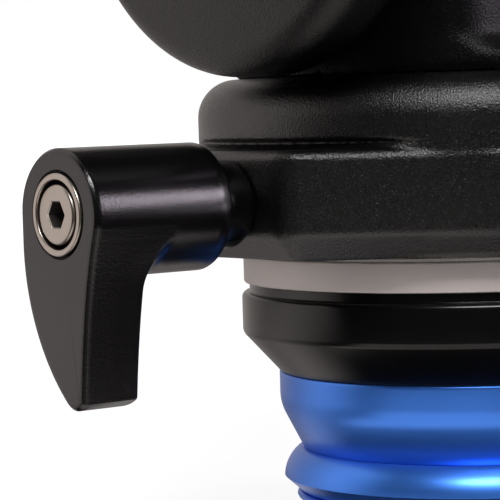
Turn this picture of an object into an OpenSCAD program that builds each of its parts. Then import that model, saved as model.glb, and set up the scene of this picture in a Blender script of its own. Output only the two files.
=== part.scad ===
// Fluid video head on a blue anodised riser, with indexing lock levers for pan and tilt.
// Millimetres, +Z up, origin at the centre of the riser's foot. The tilt axis runs along X,
// the lens looks along +Y, the operator stands at -Y and both lock levers are on the left, at -X.

/* [Riser] */
// Radius of the flat foot face
foot_r = 21.5; // [20.5:0.1:22.5]
// Radius of the riser collar at its widest
collar_r = 25.4; // [24.8:0.1:25.6]
// Height at which the collar is widest
collar_mid = 4.8; // [4.4:0.1:5]
// Radius of the round on top of the collar
collar_round = 4.75; // [4.4:0.05:5]
// Radius of the riser's core inside the collar
core_r = 15; // [14:0.5:16]
// Radius of the riser cone under the base plate
cone_r = 25.7; // [25.2:0.1:26.2]
// Height of the riser, foot to base plate
riser_h = 18.9; // [18.4:0.1:20]
// Radius of the shoulder round of the cone
cone_round = 6; // [5:0.5:7]
// Radius of the tapped 3/8 inch socket in the foot
socket_r = 3.97; // [3.9:0.01:4]
// Depth of the tapped socket
socket_depth = 11; // [9:0.5:11.5]
// Radius of the 3/8 inch stud that joins riser and base plate
stud_r = 4.76; // [4.6:0.01:4.9]

/* [Base] */
// Radius of the base plate
plate_r = 30.3; // [30.1:0.1:31]
// Height of the base plate with its spigot
plate_h = 11.6; // [11:0.1:12.5]
// Height of the chamfer under the base plate
plate_chamfer_h = 5.2; // [4.5:0.1:5.5]
// Radius of the spigot that stands in the groove under the pan ring
spigot_r = 29.3; // [28.8:0.1:29.5]
// Height of that groove
groove_h = 1.2; // [0.8:0.1:1.5]
// Radius of the steel pan ring
ring_r = 30; // [29.5:0.1:30.3]
// Height of the pan ring
ring_h = 3.75; // [3.5:0.05:4]
// Thickness of the sliding washer on the pan ring
washer_t = 0.5; // [0.4:0.1:0.8]
// Radius of the spindle's flange inside the pan ring
flange_r = 20; // [19.5:0.1:20.5]
// Radius of the pan spindle
spindle_r = 11; // [10.5:0.1:11.3]
// Radius of the spindle's threaded end
spindle_end_r = 9.4; // [9:0.1:9.6]
// Radius on which the base screws sit
base_screw_pitch_r = 15.5; // [15.2:0.1:15.8]

/* [Pan housing] */
// Radius of the round pan housing
house_r = 35.3; // [35:0.1:36]
// Height of the pan housing
house_h = 21.85; // [21.6:0.05:23]
// Radius of the round on the housing's top edge
house_round = 5; // [4:0.2:5.2]
// Width of the chamfer round the housing's lower edge
house_chamfer = 2.5; // [2:0.1:2.8]
// Height of the upright lip under that chamfer
house_lip = 0.55; // [0.4:0.05:0.7]
// Radius of the drag chamber in the housing
chamber_r = 23; // [22.6:0.1:23.3]
// Length of the pan bush
bush_l = 2.6; // [2.2:0.1:2.6]
// Wall of the pan and tilt bushes
bush_wall = 2.5; // [2:0.1:2.8]
// Thickness of one pan drag disc
pan_disc_t = 0.8; // [0.6:0.05:0.9]
// Distance of the lever boss face from the pan axis
boss_reach = 40.2; // [39.6:0.1:41]
// Half width of the lever boss at its face
boss_half_w = 10.1; // [9.6:0.1:11]
// Height of the lever boss above the lever axis
boss_up = 6.1; // [5.8:0.1:6.6]
// Height of the lever axis above the housing's lower face
lever_up = 6.85; // [6.75:0.05:7.2]
// Height of the cove in the wall above the lever boss
cove_h = 1.2; // [0.8:0.1:1.4]
// Depth of that cove at its middle
cove_depth = 0.9; // [0.7:0.1:1.2]

/* [Lock levers] */
// Radius of the lever's barrel and of the paddle's round end
lever_r = 7.6; // [7.3:0.1:8]
// Length from the lever axis to the paddle's tip
lever_l = 22.4; // [21.5:0.1:24]
// Length of the lever from barrel end to paddle face
lever_depth = 19.4; // [19:0.1:21]
// Thickness of the paddle where it leaves the barrel
paddle_t = 7.9; // [7.5:0.1:8.6]
// Thickness of the paddle at its tip
paddle_tip_t = 7.7; // [6.5:0.1:7.7]
// Radius of the bulging edge of the paddle
paddle_bulge_r = 24.7; // [23:0.1:30]
// Radius of the paddle's tip
paddle_tip_r = 2.4; // [1.8:0.1:2.6]
// Radius of the hub collar between boss and lever
hub_r = 5.3; // [5.1:0.1:5.8]
// Radius of the flange at the hub collar's outer end
hub_flange_r = 6.6; // [6.2:0.1:7]
// Length of the hub collar
hub_l = 5.05; // [4.8:0.05:6.5]
// Radius of the hub's serrations at their tips
serration_r = 4.5; // [4.3:0.1:4.6]
// Number of serrations
serrations = 20; // [16:1:24]
// Travel of the lever when it is pulled out to be set round
lever_pull = 4; // [3:0.5:4]
// Radius of the clamp thread
clamp_r = 3; // [2.8:0.1:3.2]
// Radius of the steel bush round the lever screw's head
lever_bush_r = 4.8; // [4.7:0.05:4.9]
// Radius of the lever screw's head
lever_head_r = 3.5; // [3.3:0.05:3.6]
// Width across the flats of the lever screw's hexagon socket
lever_hex = 2.9; // [2.5:0.1:3]
// How far the screw head and its bush stand above the paddle face
lever_proud = 0.25; // [0.1:0.05:0.5]
// Radius of the brass brake shoes
shoe_r = 4; // [3.6:0.1:4]

/* [Pedestal and tilt] */
// Radius of the pedestal's tilt drum
drum_r = 24.5; // [24:0.1:25]
// Half length of the tilt drum
drum_half = 31; // [30.5:0.1:32]
// Half width of the pedestal's neck
neck_half = 22; // [21:0.5:23]
// Half width of the pedestal's foot on the deck
foot_half = 25.2; // [24.8:0.1:25.4]
// Radius of the pedestal's foot on the deck
pedestal_r = 30.2; // [29.9:0.1:30.3]
// Radius of the tilt chamber in the drum
tilt_chamber_r = 19.5; // [19:0.1:20]
// Thickness of the drum's end walls
drum_wall = 7; // [6:0.5:7.5]
// Radius of the cheeks' journals
journal_r = 13; // [12.5:0.1:13.4]
// Radius of the tilt shaft
tilt_shaft_r = 6; // [5.6:0.1:6.2]
// Radius of the counterbalance spring's wire
balance_wire_r = 1.3; // [1:0.1:1.4]
// Turns of the counterbalance spring
balance_turns = 5; // [4:1:5]
// Thickness of one tilt drag disc
tilt_disc_t = 1.6; // [1.2:0.1:1.8]

/* [Tilt carriage] */
// Radius of the round cheeks
cheek_r = 31.6; // [31:0.1:32]
// Thickness of a cheek
cheek_t = 10.4; // [10:0.1:11]
// Radius of the round on a cheek's outer edge
cheek_round = 5; // [4:0.2:5.4]
// Height of the cheeks above the deck at their lowest point
cheek_gap = 0.1; // [0.1:0.1:0.6]
// Height of the platform's underside above the tilt axis
platform_up = 26; // [25.6:0.1:27]
// Thickness of the platform under the plate
platform_t = 12.5; // [12:0.1:13]
// Half length of the platform along the lens axis
platform_half = 30; // [29:0.5:31]

/* [Quick plate] */
// Length of the quick-release plate
quick_l = 88; // [80:1:96]
// Width of the plate's top
quick_w = 44; // [42:1:48]
// Half width of the plate's dovetail foot
dovetail_half = 19; // [18.6:0.1:19.4]
// Depth of the dovetail's undercut
dovetail_cut = 3; // [2.5:0.1:3.2]
// Thickness of the plate's top
quick_t = 4; // [3.6:0.2:5]
// Thickness of the rubber pads
pad_t = 0.9; // [0.7:0.1:1.2]
// Radius of the 1/4 inch camera screw
camera_r = 3.17; // [3.1:0.01:3.2]
// How far the camera screw stands above the pads
camera_up = 5.2; // [4.5:0.1:6]
// Travel of the camera screw in its slot, each way
camera_travel = 14; // [10:1:15]
// Radius of the plate lock knob
knob_r = 9; // [8:0.5:9.5]
// Length of the plate lock knob
knob_l = 13; // [11:0.5:16]
// Radius of the knob's screw
knob_screw_r = 2.5; // [2.2:0.1:2.6]
// Radius of the safety button
button_r = 3.5; // [3:0.1:3.8]
// How far the safety button stands out
button_out = 3.4; // [3:0.1:4]

/* [Pan handle] */
// Radius of the rosette
rosette_r = 13; // [12:0.5:14]
// Thickness of the rosette under its teeth
rosette_t = 3; // [2.6:0.1:3.4]
// Height of the rosette's teeth
tooth_h = 0.7; // [0.5:0.1:0.9]
// Number of rosette teeth
teeth = 30; // [24:2:36]
// Thickness of the handle socket's eye
eye_t = 9; // [8:0.5:10]
// Radius of the handle tube
tube_r = 7.5; // [7:0.1:8]
// Length of the handle from the tilt axis to the grip's end
handle_l = 212; // [190:2:240]
// Length of the grip
grip_l = 104; // [90:2:120]
// Radius of the grip
grip_r = 13.2; // [12:0.2:14.4]
// Fall of the handle below the horizontal, in degrees
handle_drop = 15; // [5:1:18]
// Radius of the handle's clamp knob
handle_knob_r = 12; // [11:0.5:12.4]
// Radius of the handle clamp bolt
handle_bolt_r = 4; // [3.6:0.1:4.2]

/* [Level] */
// Radius of the bubble level's vial
vial_r = 6.6; // [6:0.1:7]
// Distance of the level from the pan axis
level_reach = 37; // [36:0.2:38]

/* [Hidden] */
$fn = 64;
fit = 0.05;       // radial running clearance
press = 0.02;     // radial clearance of a pressed-in piece
gap = 0.2;        // axial clearance between stacked pieces
run_gap = 0.1;    // axial running clearance under the pan housing
turn_gap = 0.5;   // side clearance between cheeks and drum
eps = 0.5;        // overshoot of cutters
arc_steps = 8;    // points on a short arc
small_screw_r = 2;
small_head_r = 3.6;

z_plate = riser_h;
z_ring = z_plate + plate_h;
z_washer = z_ring + ring_h;
z_house = z_washer + washer_t + run_gap;
z_deck = z_house + house_h;
z_lever = z_house + lever_up;
z_tilt = z_deck + cheek_gap + cheek_r;
z_shelf = z_tilt + platform_up;
z_floor = z_shelf + platform_t;

collar_arc = 58;                                   // sweep of the collar's round, degrees
collar_h = collar_mid + collar_round * sin(collar_arc);
collar_top_r = collar_r - collar_round * (1 - cos(collar_arc));
cone_slope = 26.6;                                 // angle of the cone's flank, degrees
cone_band = 2.9;                                   // height of the straight band on top of the cone
plate_foot_r = cone_r - 0.1;
plate_edge = 0.3;
stud_bite = 8;                                     // depth of the stud hole in the base plate
bush_r = spindle_r + fit + bush_wall;
chamber_z = z_lever + shoe_r + 1;
pan_discs = 5;
pan_stack = pan_discs * (pan_disc_t + gap) + gap;
flat_half = spindle_r - 1.2;                       // half width of the spindle across its flats
nut_t = 3;
lug_w = 5;
lug_h = 1.2;
base_screw_l = 10;
pedestal_screw_pitch_r = 26.8;
pedestal_screw_bite = 8;
shoe_l = 6;
thread_in = 22;                                    // where the clamp thread starts in the boss
screw_head_in = 4;                                 // depth of the base screws' counterbores
pedestal_head_in = 4.4;                            // depth of the pedestal screws' counterbores
stud_in = 6;                                       // depth of the stud hole in the riser

boss_angle = atan(boss_half_w / boss_reach) + acos(house_r / norm([boss_reach, boss_half_w]));
boss_edge = 1;
boss_strip = 0.7;                                  // legs of the flat on the boss's upright corners
boss_sink = 0.3;                                   // the boss's flanks run this far into the round wall
cove_a = 36;                                       // half angle over which the cove runs, degrees
cove_step = 0.15;                                  // height of the cove above the boss's top
cove_far = house_r * polar(1, cove_a);
cove_near = house_r - cove_depth;
cove_shift = (cove_near^2 - house_r^2) / (2 * (cove_far[0] - cove_near));
cove_r = cove_near + cove_shift;

hub_flange_t = 1.6;
serration_in = serration_r - 0.6;
serration_l = lever_pull - 0.3;
barrel_x = hub_l + gap + 0.1;                      // distances along a lever's axis from its boss face
hub_end = barrel_x + serration_l;
web_x = hub_end + 1.6;
web_t = 2;
lever_face = barrel_x + lever_depth;
barrel_r = lever_r - 0.1;                          // the barrel meets the paddle a hair inside its round end
head_x = lever_face + lever_proud;
rim_gap = 0.25;                                    // clearance round the lever bush at its rim
rim_depth = 1.2;
head_t = 4;
bush_x = head_x - 5.6;
spring_wire_r = 0.3;
spring_r = (small_screw_r + lever_bush_r - 0.6) / 2;
spring_turns = 4;

cheek_in = drum_half + turn_gap;
cheek_out = cheek_in + cheek_t;
tilt_boss_r = 10;
tilt_boss_t = 1;
tilt_boss = cheek_out + tilt_boss_t;
groove_r = 22.6;                                   // ring groove on the cheeks' outer faces
tilt_bush_r = journal_r + fit + bush_wall;
tilt_shoe_r = 5;
tilt_shoe_l = 3.8;
cheek_chamfer = 1;                                 // on the cheeks' inner edges
shaft_to = cheek_out - 3;                          // outer end of the tilt shaft
friction_t = 2;
friction_x = -(drum_half - drum_wall);
rotor_x = 4;                                       // where the tilt drag stack starts
cap_t = 6;

platform_screw_y = 18;
platform_screw_l = 12;
platform_hole_l = 9;                               // depth of a platform screw's thread in the cheek
foot_h = 1.8;                                      // height of the dovetail's upright foot
jaw_h = foot_h + dovetail_cut + 0.4;
quick_z = z_floor + gap;
quick_under = jaw_h + 0.3;                         // height of the plate's overhang above its foot
quick_top = quick_z + quick_under + quick_t;
pad_top = quick_top + pad_t;
pad_edge = 5;                                      // bare rim of the plate beside its pads
lip_half = dovetail_half - dovetail_cut;
jaw_drop = 8;                                      // depth of the moving jaw's block below the floor
jaw_split = dovetail_half + 0.6;
jaw_clear = 0.25;                                  // slack of the jaws on the dovetail
jaw_out = cheek_out - 0.5;
knob_at = cheek_out + 0.6;                         // inner face of the plate knob
knob_neck_r = jaw_drop / 2 - gap;
knob_screw_in = 8;                                 // inner end of the knob's screw, from the middle
knob_z = z_floor - 4;
camera_head_r = 6.4;
camera_neck_r = camera_r - 0.5;                    // plain neck of the captive camera screw
camera_head_t = 2.6;
coin_slot_w = 1.6;
coin_slot_deep = 1.4;
washer_top = 4.6;                                  // height of the camera screw's washer in the plate
plate_washer_t = 0.6;
pad_from = camera_travel + 6;
pad_to = quick_l / 2 - 3;
button_z = z_shelf + platform_t / 2;
button_x = 26;
button_hole = 12;
button_in = 7;

rosette_x = cheek_out;
rosette_screw_r = 1.5;
rosette_head_r = rosette_screw_r + 1.1;
rosette_screw_l = 7.5;
rosette_screw_pitch_r = 8;
tooth_from = 10.8;                                 // inner radius of the rosette's teeth
eye_x = rosette_x + rosette_t + tooth_h + gap;
socket_wall = 2.6;
tube_x = eye_x + tube_r + socket_wall + 0.4;
socket_from = handle_knob_r + 2;
socket_to = socket_from + 32;
tube_from = socket_from + 3;
knob_x = eye_x + eye_t + gap;
handle_knob_l = 15;
handle_bolt_bite = 11;                             // bolt length in the tilt shaft
grip_from = handle_l - grip_l;
cap_l = 5;
tube_wall = 1.4;
level_z = z_deck - 9;
level_wall = 2;
level_a = -60;

black_coat = [0.05, 0.05, 0.055];
black_anodised = [0.03, 0.03, 0.035];
blue_anodised = [0.06, 0.22, 0.62];
steel = [0.62, 0.6, 0.58];
brass = [0.72, 0.56, 0.28];
white_plastic = [0.85, 0.85, 0.82];
rubber = [0.08, 0.08, 0.08];

function arc(c, r, a0, a1, n = arc_steps) =
    [for (i = [0 : n]) let (a = a0 + (a1 - a0) * i / n) c + r * [cos(a), sin(a)]];
function bezier(p, n) =
    [for (i = [0 : n]) let (t = i / n, u = 1 - t)
        u^3 * p[0] + 3 * u^2 * t * p[1] + 3 * u * t^2 * p[2] + t^3 * p[3]];
function polar(r, a) = r * [cos(a), sin(a)];

// Frames for the pieces that lie along an axis
module along_left(x, z) translate([-x, 0, z]) rotate([0, -90, 0]) children();
module along_right(x, z) translate([x, 0, z]) rotate([0, 90, 0]) children();
module handle_frame(x = 0) translate([x, 0, z_tilt]) rotate([90 + handle_drop, 0, 0]) children();

// Shapes that repeat
module ring(r_out, r_in, h) difference() {
    cylinder(r = r_out, h = h);
    translate([0, 0, -eps]) cylinder(r = r_in, h = h + 2 * eps);
}
module cap_screw(l, r, head_r, head_h, hex) difference() {
    union() {
        translate([0, 0, -l]) cylinder(r = r, h = l + eps);
        cylinder(r = head_r, h = head_h);
    }
    translate([0, 0, head_h / 2]) cylinder(d = hex / cos(30), h = head_h, $fn = 6);
}
module flat_screw(l, r, head_r, hex) difference() {
    rotate_extrude() polygon([[0, 0], [head_r, 0], [r, r - head_r], [r, -l], [0, -l]]);
    translate([0, 0, -1.2]) cylinder(d = hex / cos(30), h = 1.2 + eps, $fn = 6);
}
module star(r_out, r_in, n)
    polygon([for (i = [0 : 2 * n - 1]) polar(i % 2 == 0 ? r_out : r_in, 180 * i / n)]);
module scalloped(r, h, n, bite) difference() {
    cylinder(r = r, h = h);
    for (i = [0 : n - 1]) rotate(360 * i / n) translate([r + bite, 0, -eps])
        cylinder(r = 2 * bite, h = h + 2 * eps);
}
// A coil spring along +Z, one closed tube of six sides from end to end
module coil(r, wire_r, length, turns, steps = 12, sides = 6) {
    n = turns * steps;
    rise = length - 2 * wire_r;
    points = [for (i = [0 : n], k = [0 : sides - 1])
        let (a = 360 * i / steps, b = 360 * k / sides, q = r + wire_r * cos(b))
        [q * cos(a), q * sin(a), wire_r + rise * i / n + wire_r * sin(b)]];
    walls = [for (i = [0 : n - 1], k = [0 : sides - 1])
        let (p = i * sides + k, q = i * sides + (k + 1) % sides)
        each [[p, p + sides, q], [q, p + sides, q + sides]]];
    ends = [for (k = [1 : sides - 2]) each [[0, k, k + 1], [n * sides, n * sides + k + 1, n * sides + k]]];
    polyhedron(points, concat(walls, ends));
}

// Riser: a turned cone on a core, with a collar ring round the core
module riser_collar() color(blue_anodised)
    rotate_extrude() polygon(concat(
        [[core_r + press, 0], [foot_r, 0], [collar_r - 0.25, collar_mid - 0.9]],
        arc([collar_r - collar_round, collar_mid], collar_round, 0, collar_arc),
        [[core_r + press, collar_h]]));
module riser_cone() color(blue_anodised) difference() {
    shoulder_z = riser_h - cone_band;
    shoulder = arc([cone_r - cone_round, shoulder_z], cone_round, -cone_slope, 0);
    rotate_extrude() polygon(concat(
        [[0, 0], [core_r, 0], [core_r, collar_h], [collar_top_r - 0.1, collar_h]],
        shoulder, [[cone_r, riser_h], [0, riser_h]]));
    translate([0, 0, -eps]) cylinder(r = socket_r, h = socket_depth + eps);
    translate([0, 0, riser_h - stud_in]) cylinder(r = stud_r + fit, h = stud_in + eps);
}
module riser_stud() color(steel)
    translate([0, 0, riser_h - stud_in + gap]) cylinder(r = stud_r, h = stud_in + stud_bite - 2 * gap);

// Base: chamfered plate, steel ring, spindle and its screws
module base_screw_places() for (a = [45 : 90 : 315])
    rotate(a) translate([base_screw_pitch_r, 0, 0]) children();
module base_plate() color(black_anodised) difference() {
    shoulder = z_plate + plate_chamfer_h;
    rotate_extrude() polygon([
        [0, z_plate], [plate_foot_r, z_plate], [plate_r - 2 * plate_edge, shoulder - plate_edge],
        [plate_r - plate_edge / 2, shoulder], [plate_r, shoulder + 2 * plate_edge],
        [plate_r, z_ring - groove_h - plate_edge], [plate_r - plate_edge, z_ring - groove_h],
        [spigot_r, z_ring - groove_h], [spigot_r, z_ring], [0, z_ring]]);
    translate([0, 0, z_plate - eps]) cylinder(r = stud_r + fit, h = stud_bite + eps);
    translate([0, 0, z_plate]) base_screw_places() {
        translate([0, 0, -eps]) cylinder(r = small_screw_r + fit, h = plate_h + 2 * eps);
        translate([0, 0, -eps]) cylinder(r = small_head_r + fit, h = screw_head_in + eps);
    }
}
module pan_ring() color(steel) {
    edge = 0.3;
    rotate_extrude() polygon([
        [flange_r + press, z_ring], [ring_r - edge, z_ring], [ring_r, z_ring + edge],
        [ring_r, z_washer - edge], [ring_r - edge, z_washer], [flange_r + press, z_washer]]);
}
module spindle_flats() intersection() {
    circle(r = spindle_r);
    square([2 * flat_half, 2 * spindle_r + eps], center = true);
}
module pan_spindle() color(steel) difference() {
    union() {
        translate([0, 0, z_ring]) cylinder(r = flange_r, h = ring_h);
        translate([0, 0, z_washer]) cylinder(r = spindle_r, h = chamber_z - z_washer);
        translate([0, 0, chamber_z]) linear_extrude(pan_stack) spindle_flats();
        translate([0, 0, chamber_z + pan_stack]) cylinder(r = spindle_end_r, h = nut_t);
    }
    translate([0, 0, z_ring - eps]) base_screw_places()
        cylinder(r = small_screw_r + fit, h = ring_h + 2 * eps);
}
module base_screws() color(steel) translate([0, 0, z_plate + screw_head_in - gap]) base_screw_places()
    rotate([180, 0, 0]) cap_screw(base_screw_l, small_screw_r, small_head_r, 3.6, 3);
module pan_washer() color(white_plastic)
    translate([0, 0, z_washer]) ring(ring_r - 0.2, flange_r + 1, washer_t);
module pan_rotor_discs() color(steel) for (i = [1, 3])
    translate([0, 0, chamber_z + gap + i * (pan_disc_t + gap)]) linear_extrude(pan_disc_t) difference() {
        circle(r = chamber_r - 1);
        flats_hole();
    }
module flats_hole() intersection() {
    circle(r = spindle_r + fit);
    square([2 * (flat_half + fit), 2 * spindle_r + 1], center = true);
}
module pan_nut() color(steel) translate([0, 0, chamber_z + pan_stack]) difference() {
    cylinder(r = spindle_r + 4, h = nut_t);
    translate([0, 0, -eps]) cylinder(r = spindle_end_r + press, h = nut_t + 2 * eps);
    for (a = [0 : 90 : 270]) rotate(a) translate([spindle_r + 2.6, -1.5, nut_t - 1.6]) cube([eps + 2, 3, 2]);
}

// Pan housing: a round casting with a tangent boss for the lever and an ear for the level
module lugs(extra, h) for (a = [60, 180, 300])
    rotate(a) translate([chamber_r - 2, -lug_w / 2 - extra, 0])
        cube([2 + lug_h + extra, lug_w + 2 * extra, h]);
// A wedge along X that takes the edge off a block below and behind the line y = 0, z = 0
module edge_cut(edge, l) translate([-l / 2, 0, 0]) rotate([90, 0, 90]) linear_extrude(l)
    polygon([[-edge - 1, 1], [1, -edge - 1], [1, 1]]);
module lever_boss() {
    tangent = (house_r - boss_sink) * polar(1, boss_angle);
    flank = atan2(tangent[1] - boss_half_w, boss_reach - tangent[0]);
    corner = [boss_reach, boss_half_w];
    side = [[corner[0], corner[1] - boss_strip], corner + boss_strip * polar(1, 180 - flank), tangent];
    top = z_lever + boss_up;
    foot = house_chamfer + house_lip + 0.1;            // a hair inside the round chamfer beside it
    difference() {
        translate([0, 0, z_house]) linear_extrude(top - z_house) polygon(concat(
            [for (i = [0 : 2]) [-side[i][0], side[i][1]]], [for (i = [2 : -1 : 0]) -side[i]]));
        for (y = [0, 1]) mirror([0, y, 0]) translate([-boss_reach, boss_half_w, 0]) rotate(flank) {
            translate([0, 0, top]) edge_cut(boss_edge, 4 * house_r);
            translate([0, 0, z_house]) mirror([0, 0, 1]) edge_cut(foot, 4 * house_r);
        }
        translate([-boss_reach, 0, top]) rotate(90) edge_cut(boss_edge, 4 * house_r);
        translate([-boss_reach, 0, z_house]) rotate(90) mirror([0, 0, 1]) edge_cut(foot, 4 * house_r);
    }
}
// The cove runs round the wall just above the boss and fades out towards the boss's flanks
module boss_cove() {
    side = 2 * house_r;
    mid = z_lever + boss_up + cove_step + cove_h / 2;
    intersection() {
        translate([cove_shift, 0, mid]) rotate_extrude() {
            translate([cove_r + cove_h / 2, 0]) circle(d = cove_h);
            translate([cove_r + cove_h / 2, -cove_h / 2]) square([side, cove_h]);
        }
        translate([-side - cove_far[0] + boss_edge, -side / 2, mid - cove_h]) cube([side, side, 2 * cove_h]);
    }
}
module level_place(z) rotate(level_a) translate([level_reach, 0, z]) children();
module pan_housing() color(black_coat) difference() {
    union() {
        rotate_extrude() polygon(concat(
            [[0, z_house], [house_r - house_chamfer, z_house], [house_r - house_chamfer, z_house + house_lip],
             [house_r, z_house + house_lip + house_chamfer]],
            arc([house_r - house_round, z_deck - house_round], house_round, 0, 90), [[0, z_deck]]));
        lever_boss();
        level_place(level_z) cylinder(r = vial_r + 2 * level_wall, h = 8);
    }
    boss_cove();
    translate([0, 0, z_house - eps]) cylinder(r = spindle_r + 0.3, h = house_h);
    translate([0, 0, z_house - eps]) cylinder(r = bush_r, h = bush_l + eps);
    translate([0, 0, chamber_z]) cylinder(r = chamber_r, h = house_h);
    translate([0, 0, chamber_z]) lugs(0.15, house_h);
    along_left(spindle_r - 1, z_lever) cylinder(r = shoe_r + fit, h = thread_in - spindle_r + 1);
    along_left(thread_in - eps, z_lever) cylinder(r = clamp_r + fit, h = boss_reach);
    translate([0, 0, z_house]) pedestal_screw_places() {
        translate([0, 0, -eps]) cylinder(r = small_screw_r + fit, h = house_h + 2 * eps);
        translate([0, 0, -eps]) cylinder(r = small_head_r + fit, h = pedestal_head_in + eps);
    }
    level_place(level_z + 2) cylinder(r = vial_r + level_wall + press, h = 20);
}
module pan_bush() color(brass) translate([0, 0, z_house]) ring(bush_r - press, spindle_r + fit, bush_l);
module pan_stator_discs() color(brass) for (i = [0, 2, 4])
    translate([0, 0, chamber_z + gap + i * (pan_disc_t + gap)]) difference() {
        union() {
            cylinder(r = chamber_r - 0.1, h = pan_disc_t);
            lugs(0, pan_disc_t);
        }
        translate([0, 0, -eps]) cylinder(r = spindle_r + 1, h = pan_disc_t + 2 * eps);
    }
module pan_brake_shoe() color(brass) difference() {
    along_left(spindle_r - 2, z_lever) cylinder(r = shoe_r, h = shoe_l + 2);
    translate([0, 0, z_lever - 3 * shoe_r]) cylinder(r = spindle_r + fit, h = 6 * shoe_r);
}

// Pedestal: a neck on the deck that carries the hollow tilt drum
module pedestal_screw_places() for (a = [45 : 90 : 315])
    rotate(a) translate([pedestal_screw_pitch_r, 0, 0]) children();
module pedestal() color(black_coat) difference() {
    union() {
        translate([0, 0, z_deck]) intersection() {
            cylinder(r = pedestal_r, h = z_tilt - z_deck);
            translate([-pedestal_r, 0, 0]) rotate([90, 0, 90]) linear_extrude(2 * pedestal_r) pedestal_neck();
        }
        along_left(-drum_half, z_tilt) cylinder(r = drum_r, h = 2 * drum_half);
    }
    along_right(-drum_half + drum_wall, z_tilt) cylinder(r = tilt_chamber_r, h = 2 * drum_half);
    along_left(0, z_tilt) cylinder(r = tilt_bush_r, h = 2 * drum_half);
    translate([0, 0, z_deck - eps]) pedestal_screw_places()
        cylinder(r = small_screw_r + fit, h = pedestal_screw_bite + eps);
}
// Side view of the neck: a foot that covers the drag chamber and sweeps in to the neck
module pedestal_neck() {
    sweep = foot_half - neck_half;
    side = arc([foot_half, 2 + sweep], sweep, 270, 180);
    mirrored = [for (i = [arc_steps : -1 : 0]) [-side[i][0], side[i][1]]];
    polygon(concat([[foot_half, 0]], side, [[neck_half, z_tilt - z_deck], [-neck_half, z_tilt - z_deck]],
                   mirrored, [[-foot_half, 0]]));
}
module pedestal_screws() color(steel) {
    length = house_h - pedestal_head_in + pedestal_screw_bite - 1;
    translate([0, 0, z_house + pedestal_head_in]) pedestal_screw_places()
        rotate([180, 0, 0]) cap_screw(length, small_screw_r, small_head_r, 4, 3);
}
module drum_end_cap() color(black_anodised)
    along_right(drum_half - cap_t, z_tilt) ring(tilt_chamber_r - press, tilt_bush_r, cap_t);
module tilt_bush_left() color(brass)
    along_left(drum_half - drum_wall, z_tilt) ring(tilt_bush_r - press, journal_r + fit, drum_wall);
module tilt_bush_right() color(brass)
    along_right(drum_half - cap_t, z_tilt) ring(tilt_bush_r - press, journal_r + fit, cap_t);
module tilt_friction_plate() color(brass)
    along_right(friction_x, z_tilt) cylinder(r = tilt_chamber_r - press, h = friction_t);
function tilt_disc_x(i) = rotor_x + i * (tilt_disc_t + gap);
module tilt_stator_discs() color(brass) for (i = [0, 2, 4])
    along_right(tilt_disc_x(i), z_tilt) ring(tilt_chamber_r - 0.1, tilt_shaft_r + 1, tilt_disc_t);
module counterbalance_spring() color(steel) {
    start = friction_x + friction_t + gap;
    along_right(start, z_tilt)
        coil(tilt_chamber_r - balance_wire_r - 0.3, balance_wire_r, rotor_x - start - gap, balance_turns, 24);
}

// Bull's-eye level in the housing's ear
module level_cup() color(black_anodised) level_place(level_z + 2) difference() {
    cylinder(r = vial_r + level_wall, h = 7);
    translate([0, 0, 1]) cylinder(r = vial_r + press, h = 20);
}
module level_vial() color([0.6, 0.85, 0.3, 0.6]) level_place(level_z + 3) {
    dome_r = 2 * vial_r;
    intersection() {
        cylinder(r = vial_r, h = 6.4);
        translate([0, 0, 6.4 - dome_r]) sphere(r = dome_r);
    }
}

// Indexing lock lever, drawn along +Z from its boss face, with local +X up
module clamp_stud(tip) color(black_anodised) difference() {
    flange_from = gap + hub_l - hub_flange_t;
    union() {
        translate([0, 0, -tip]) cylinder(r = clamp_r, h = tip + eps);
        rotate_extrude() polygon([[0, gap], [hub_r, gap], [hub_r, flange_from], [hub_flange_r, flange_from],
                                  [hub_flange_r, gap + hub_l], [0, gap + hub_l]]);
        translate([0, 0, hub_l]) linear_extrude(hub_end - hub_l) star(serration_r, serration_in, serrations);
    }
    translate([0, 0, hub_end - 7]) cylinder(r = small_screw_r + fit, h = 20);
}
module lever_screw() color(steel) {
    length = head_x - head_t - hub_end + 6.5;
    translate([0, 0, head_x - head_t]) cap_screw(length, small_screw_r, lever_head_r, head_t, lever_hex);
}
module lever_spring() color(steel)
    translate([0, 0, web_x + web_t + fit])
        coil(spring_r, spring_wire_r, head_x - head_t - web_x - web_t - 2 * fit, spring_turns);
// Paddle outline: a round end, a bulging edge, a small tip and a hollow edge, as [to the rear, up]
function paddle_outline() =
    let (bulge_up = -3.5,
         bulge = [paddle_bulge_r - lever_r, bulge_up],
         reach = paddle_bulge_r - paddle_tip_r,
         tip_up = paddle_tip_r - lever_l,
         sweep = asin((bulge_up - tip_up) / reach),
         tip = [bulge[0] - reach * cos(sweep), tip_up],
         hollow_from = tip + polar(paddle_tip_r, 320),
         hollow_to = polar(lever_r, -10))
    concat(arc([0, 0], lever_r, -10, 180, 24),
           arc(bulge, paddle_bulge_r, 180, 180 + sweep, 12),
           arc(tip, paddle_tip_r, 180 + sweep + 12, 320),
           bezier([hollow_from, [tip[0] + 2.7, tip_up / 2], [lever_r - 1.3, -5.2], hollow_to], 10));
module paddle() {
    outline = [for (p = paddle_outline()) [p[1], -p[0]]];
    corner = 1.2;
    back = lever_face - paddle_t;
    intersection() {
        translate([0, 0, back]) linear_extrude(paddle_t) polygon(outline);
        translate([0, 2 * lever_r, 0]) rotate([90, 0, 0]) linear_extrude(4 * lever_r) polygon(concat(
            [[2 * lever_r, back - eps], [2 * lever_r, lever_face + eps], [-lever_l, lever_face + eps]],
            arc([corner - lever_l, lever_face - paddle_tip_t + corner], corner, 180, 265),
            [[-lever_r - 1, back]]));
    }
}
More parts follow.
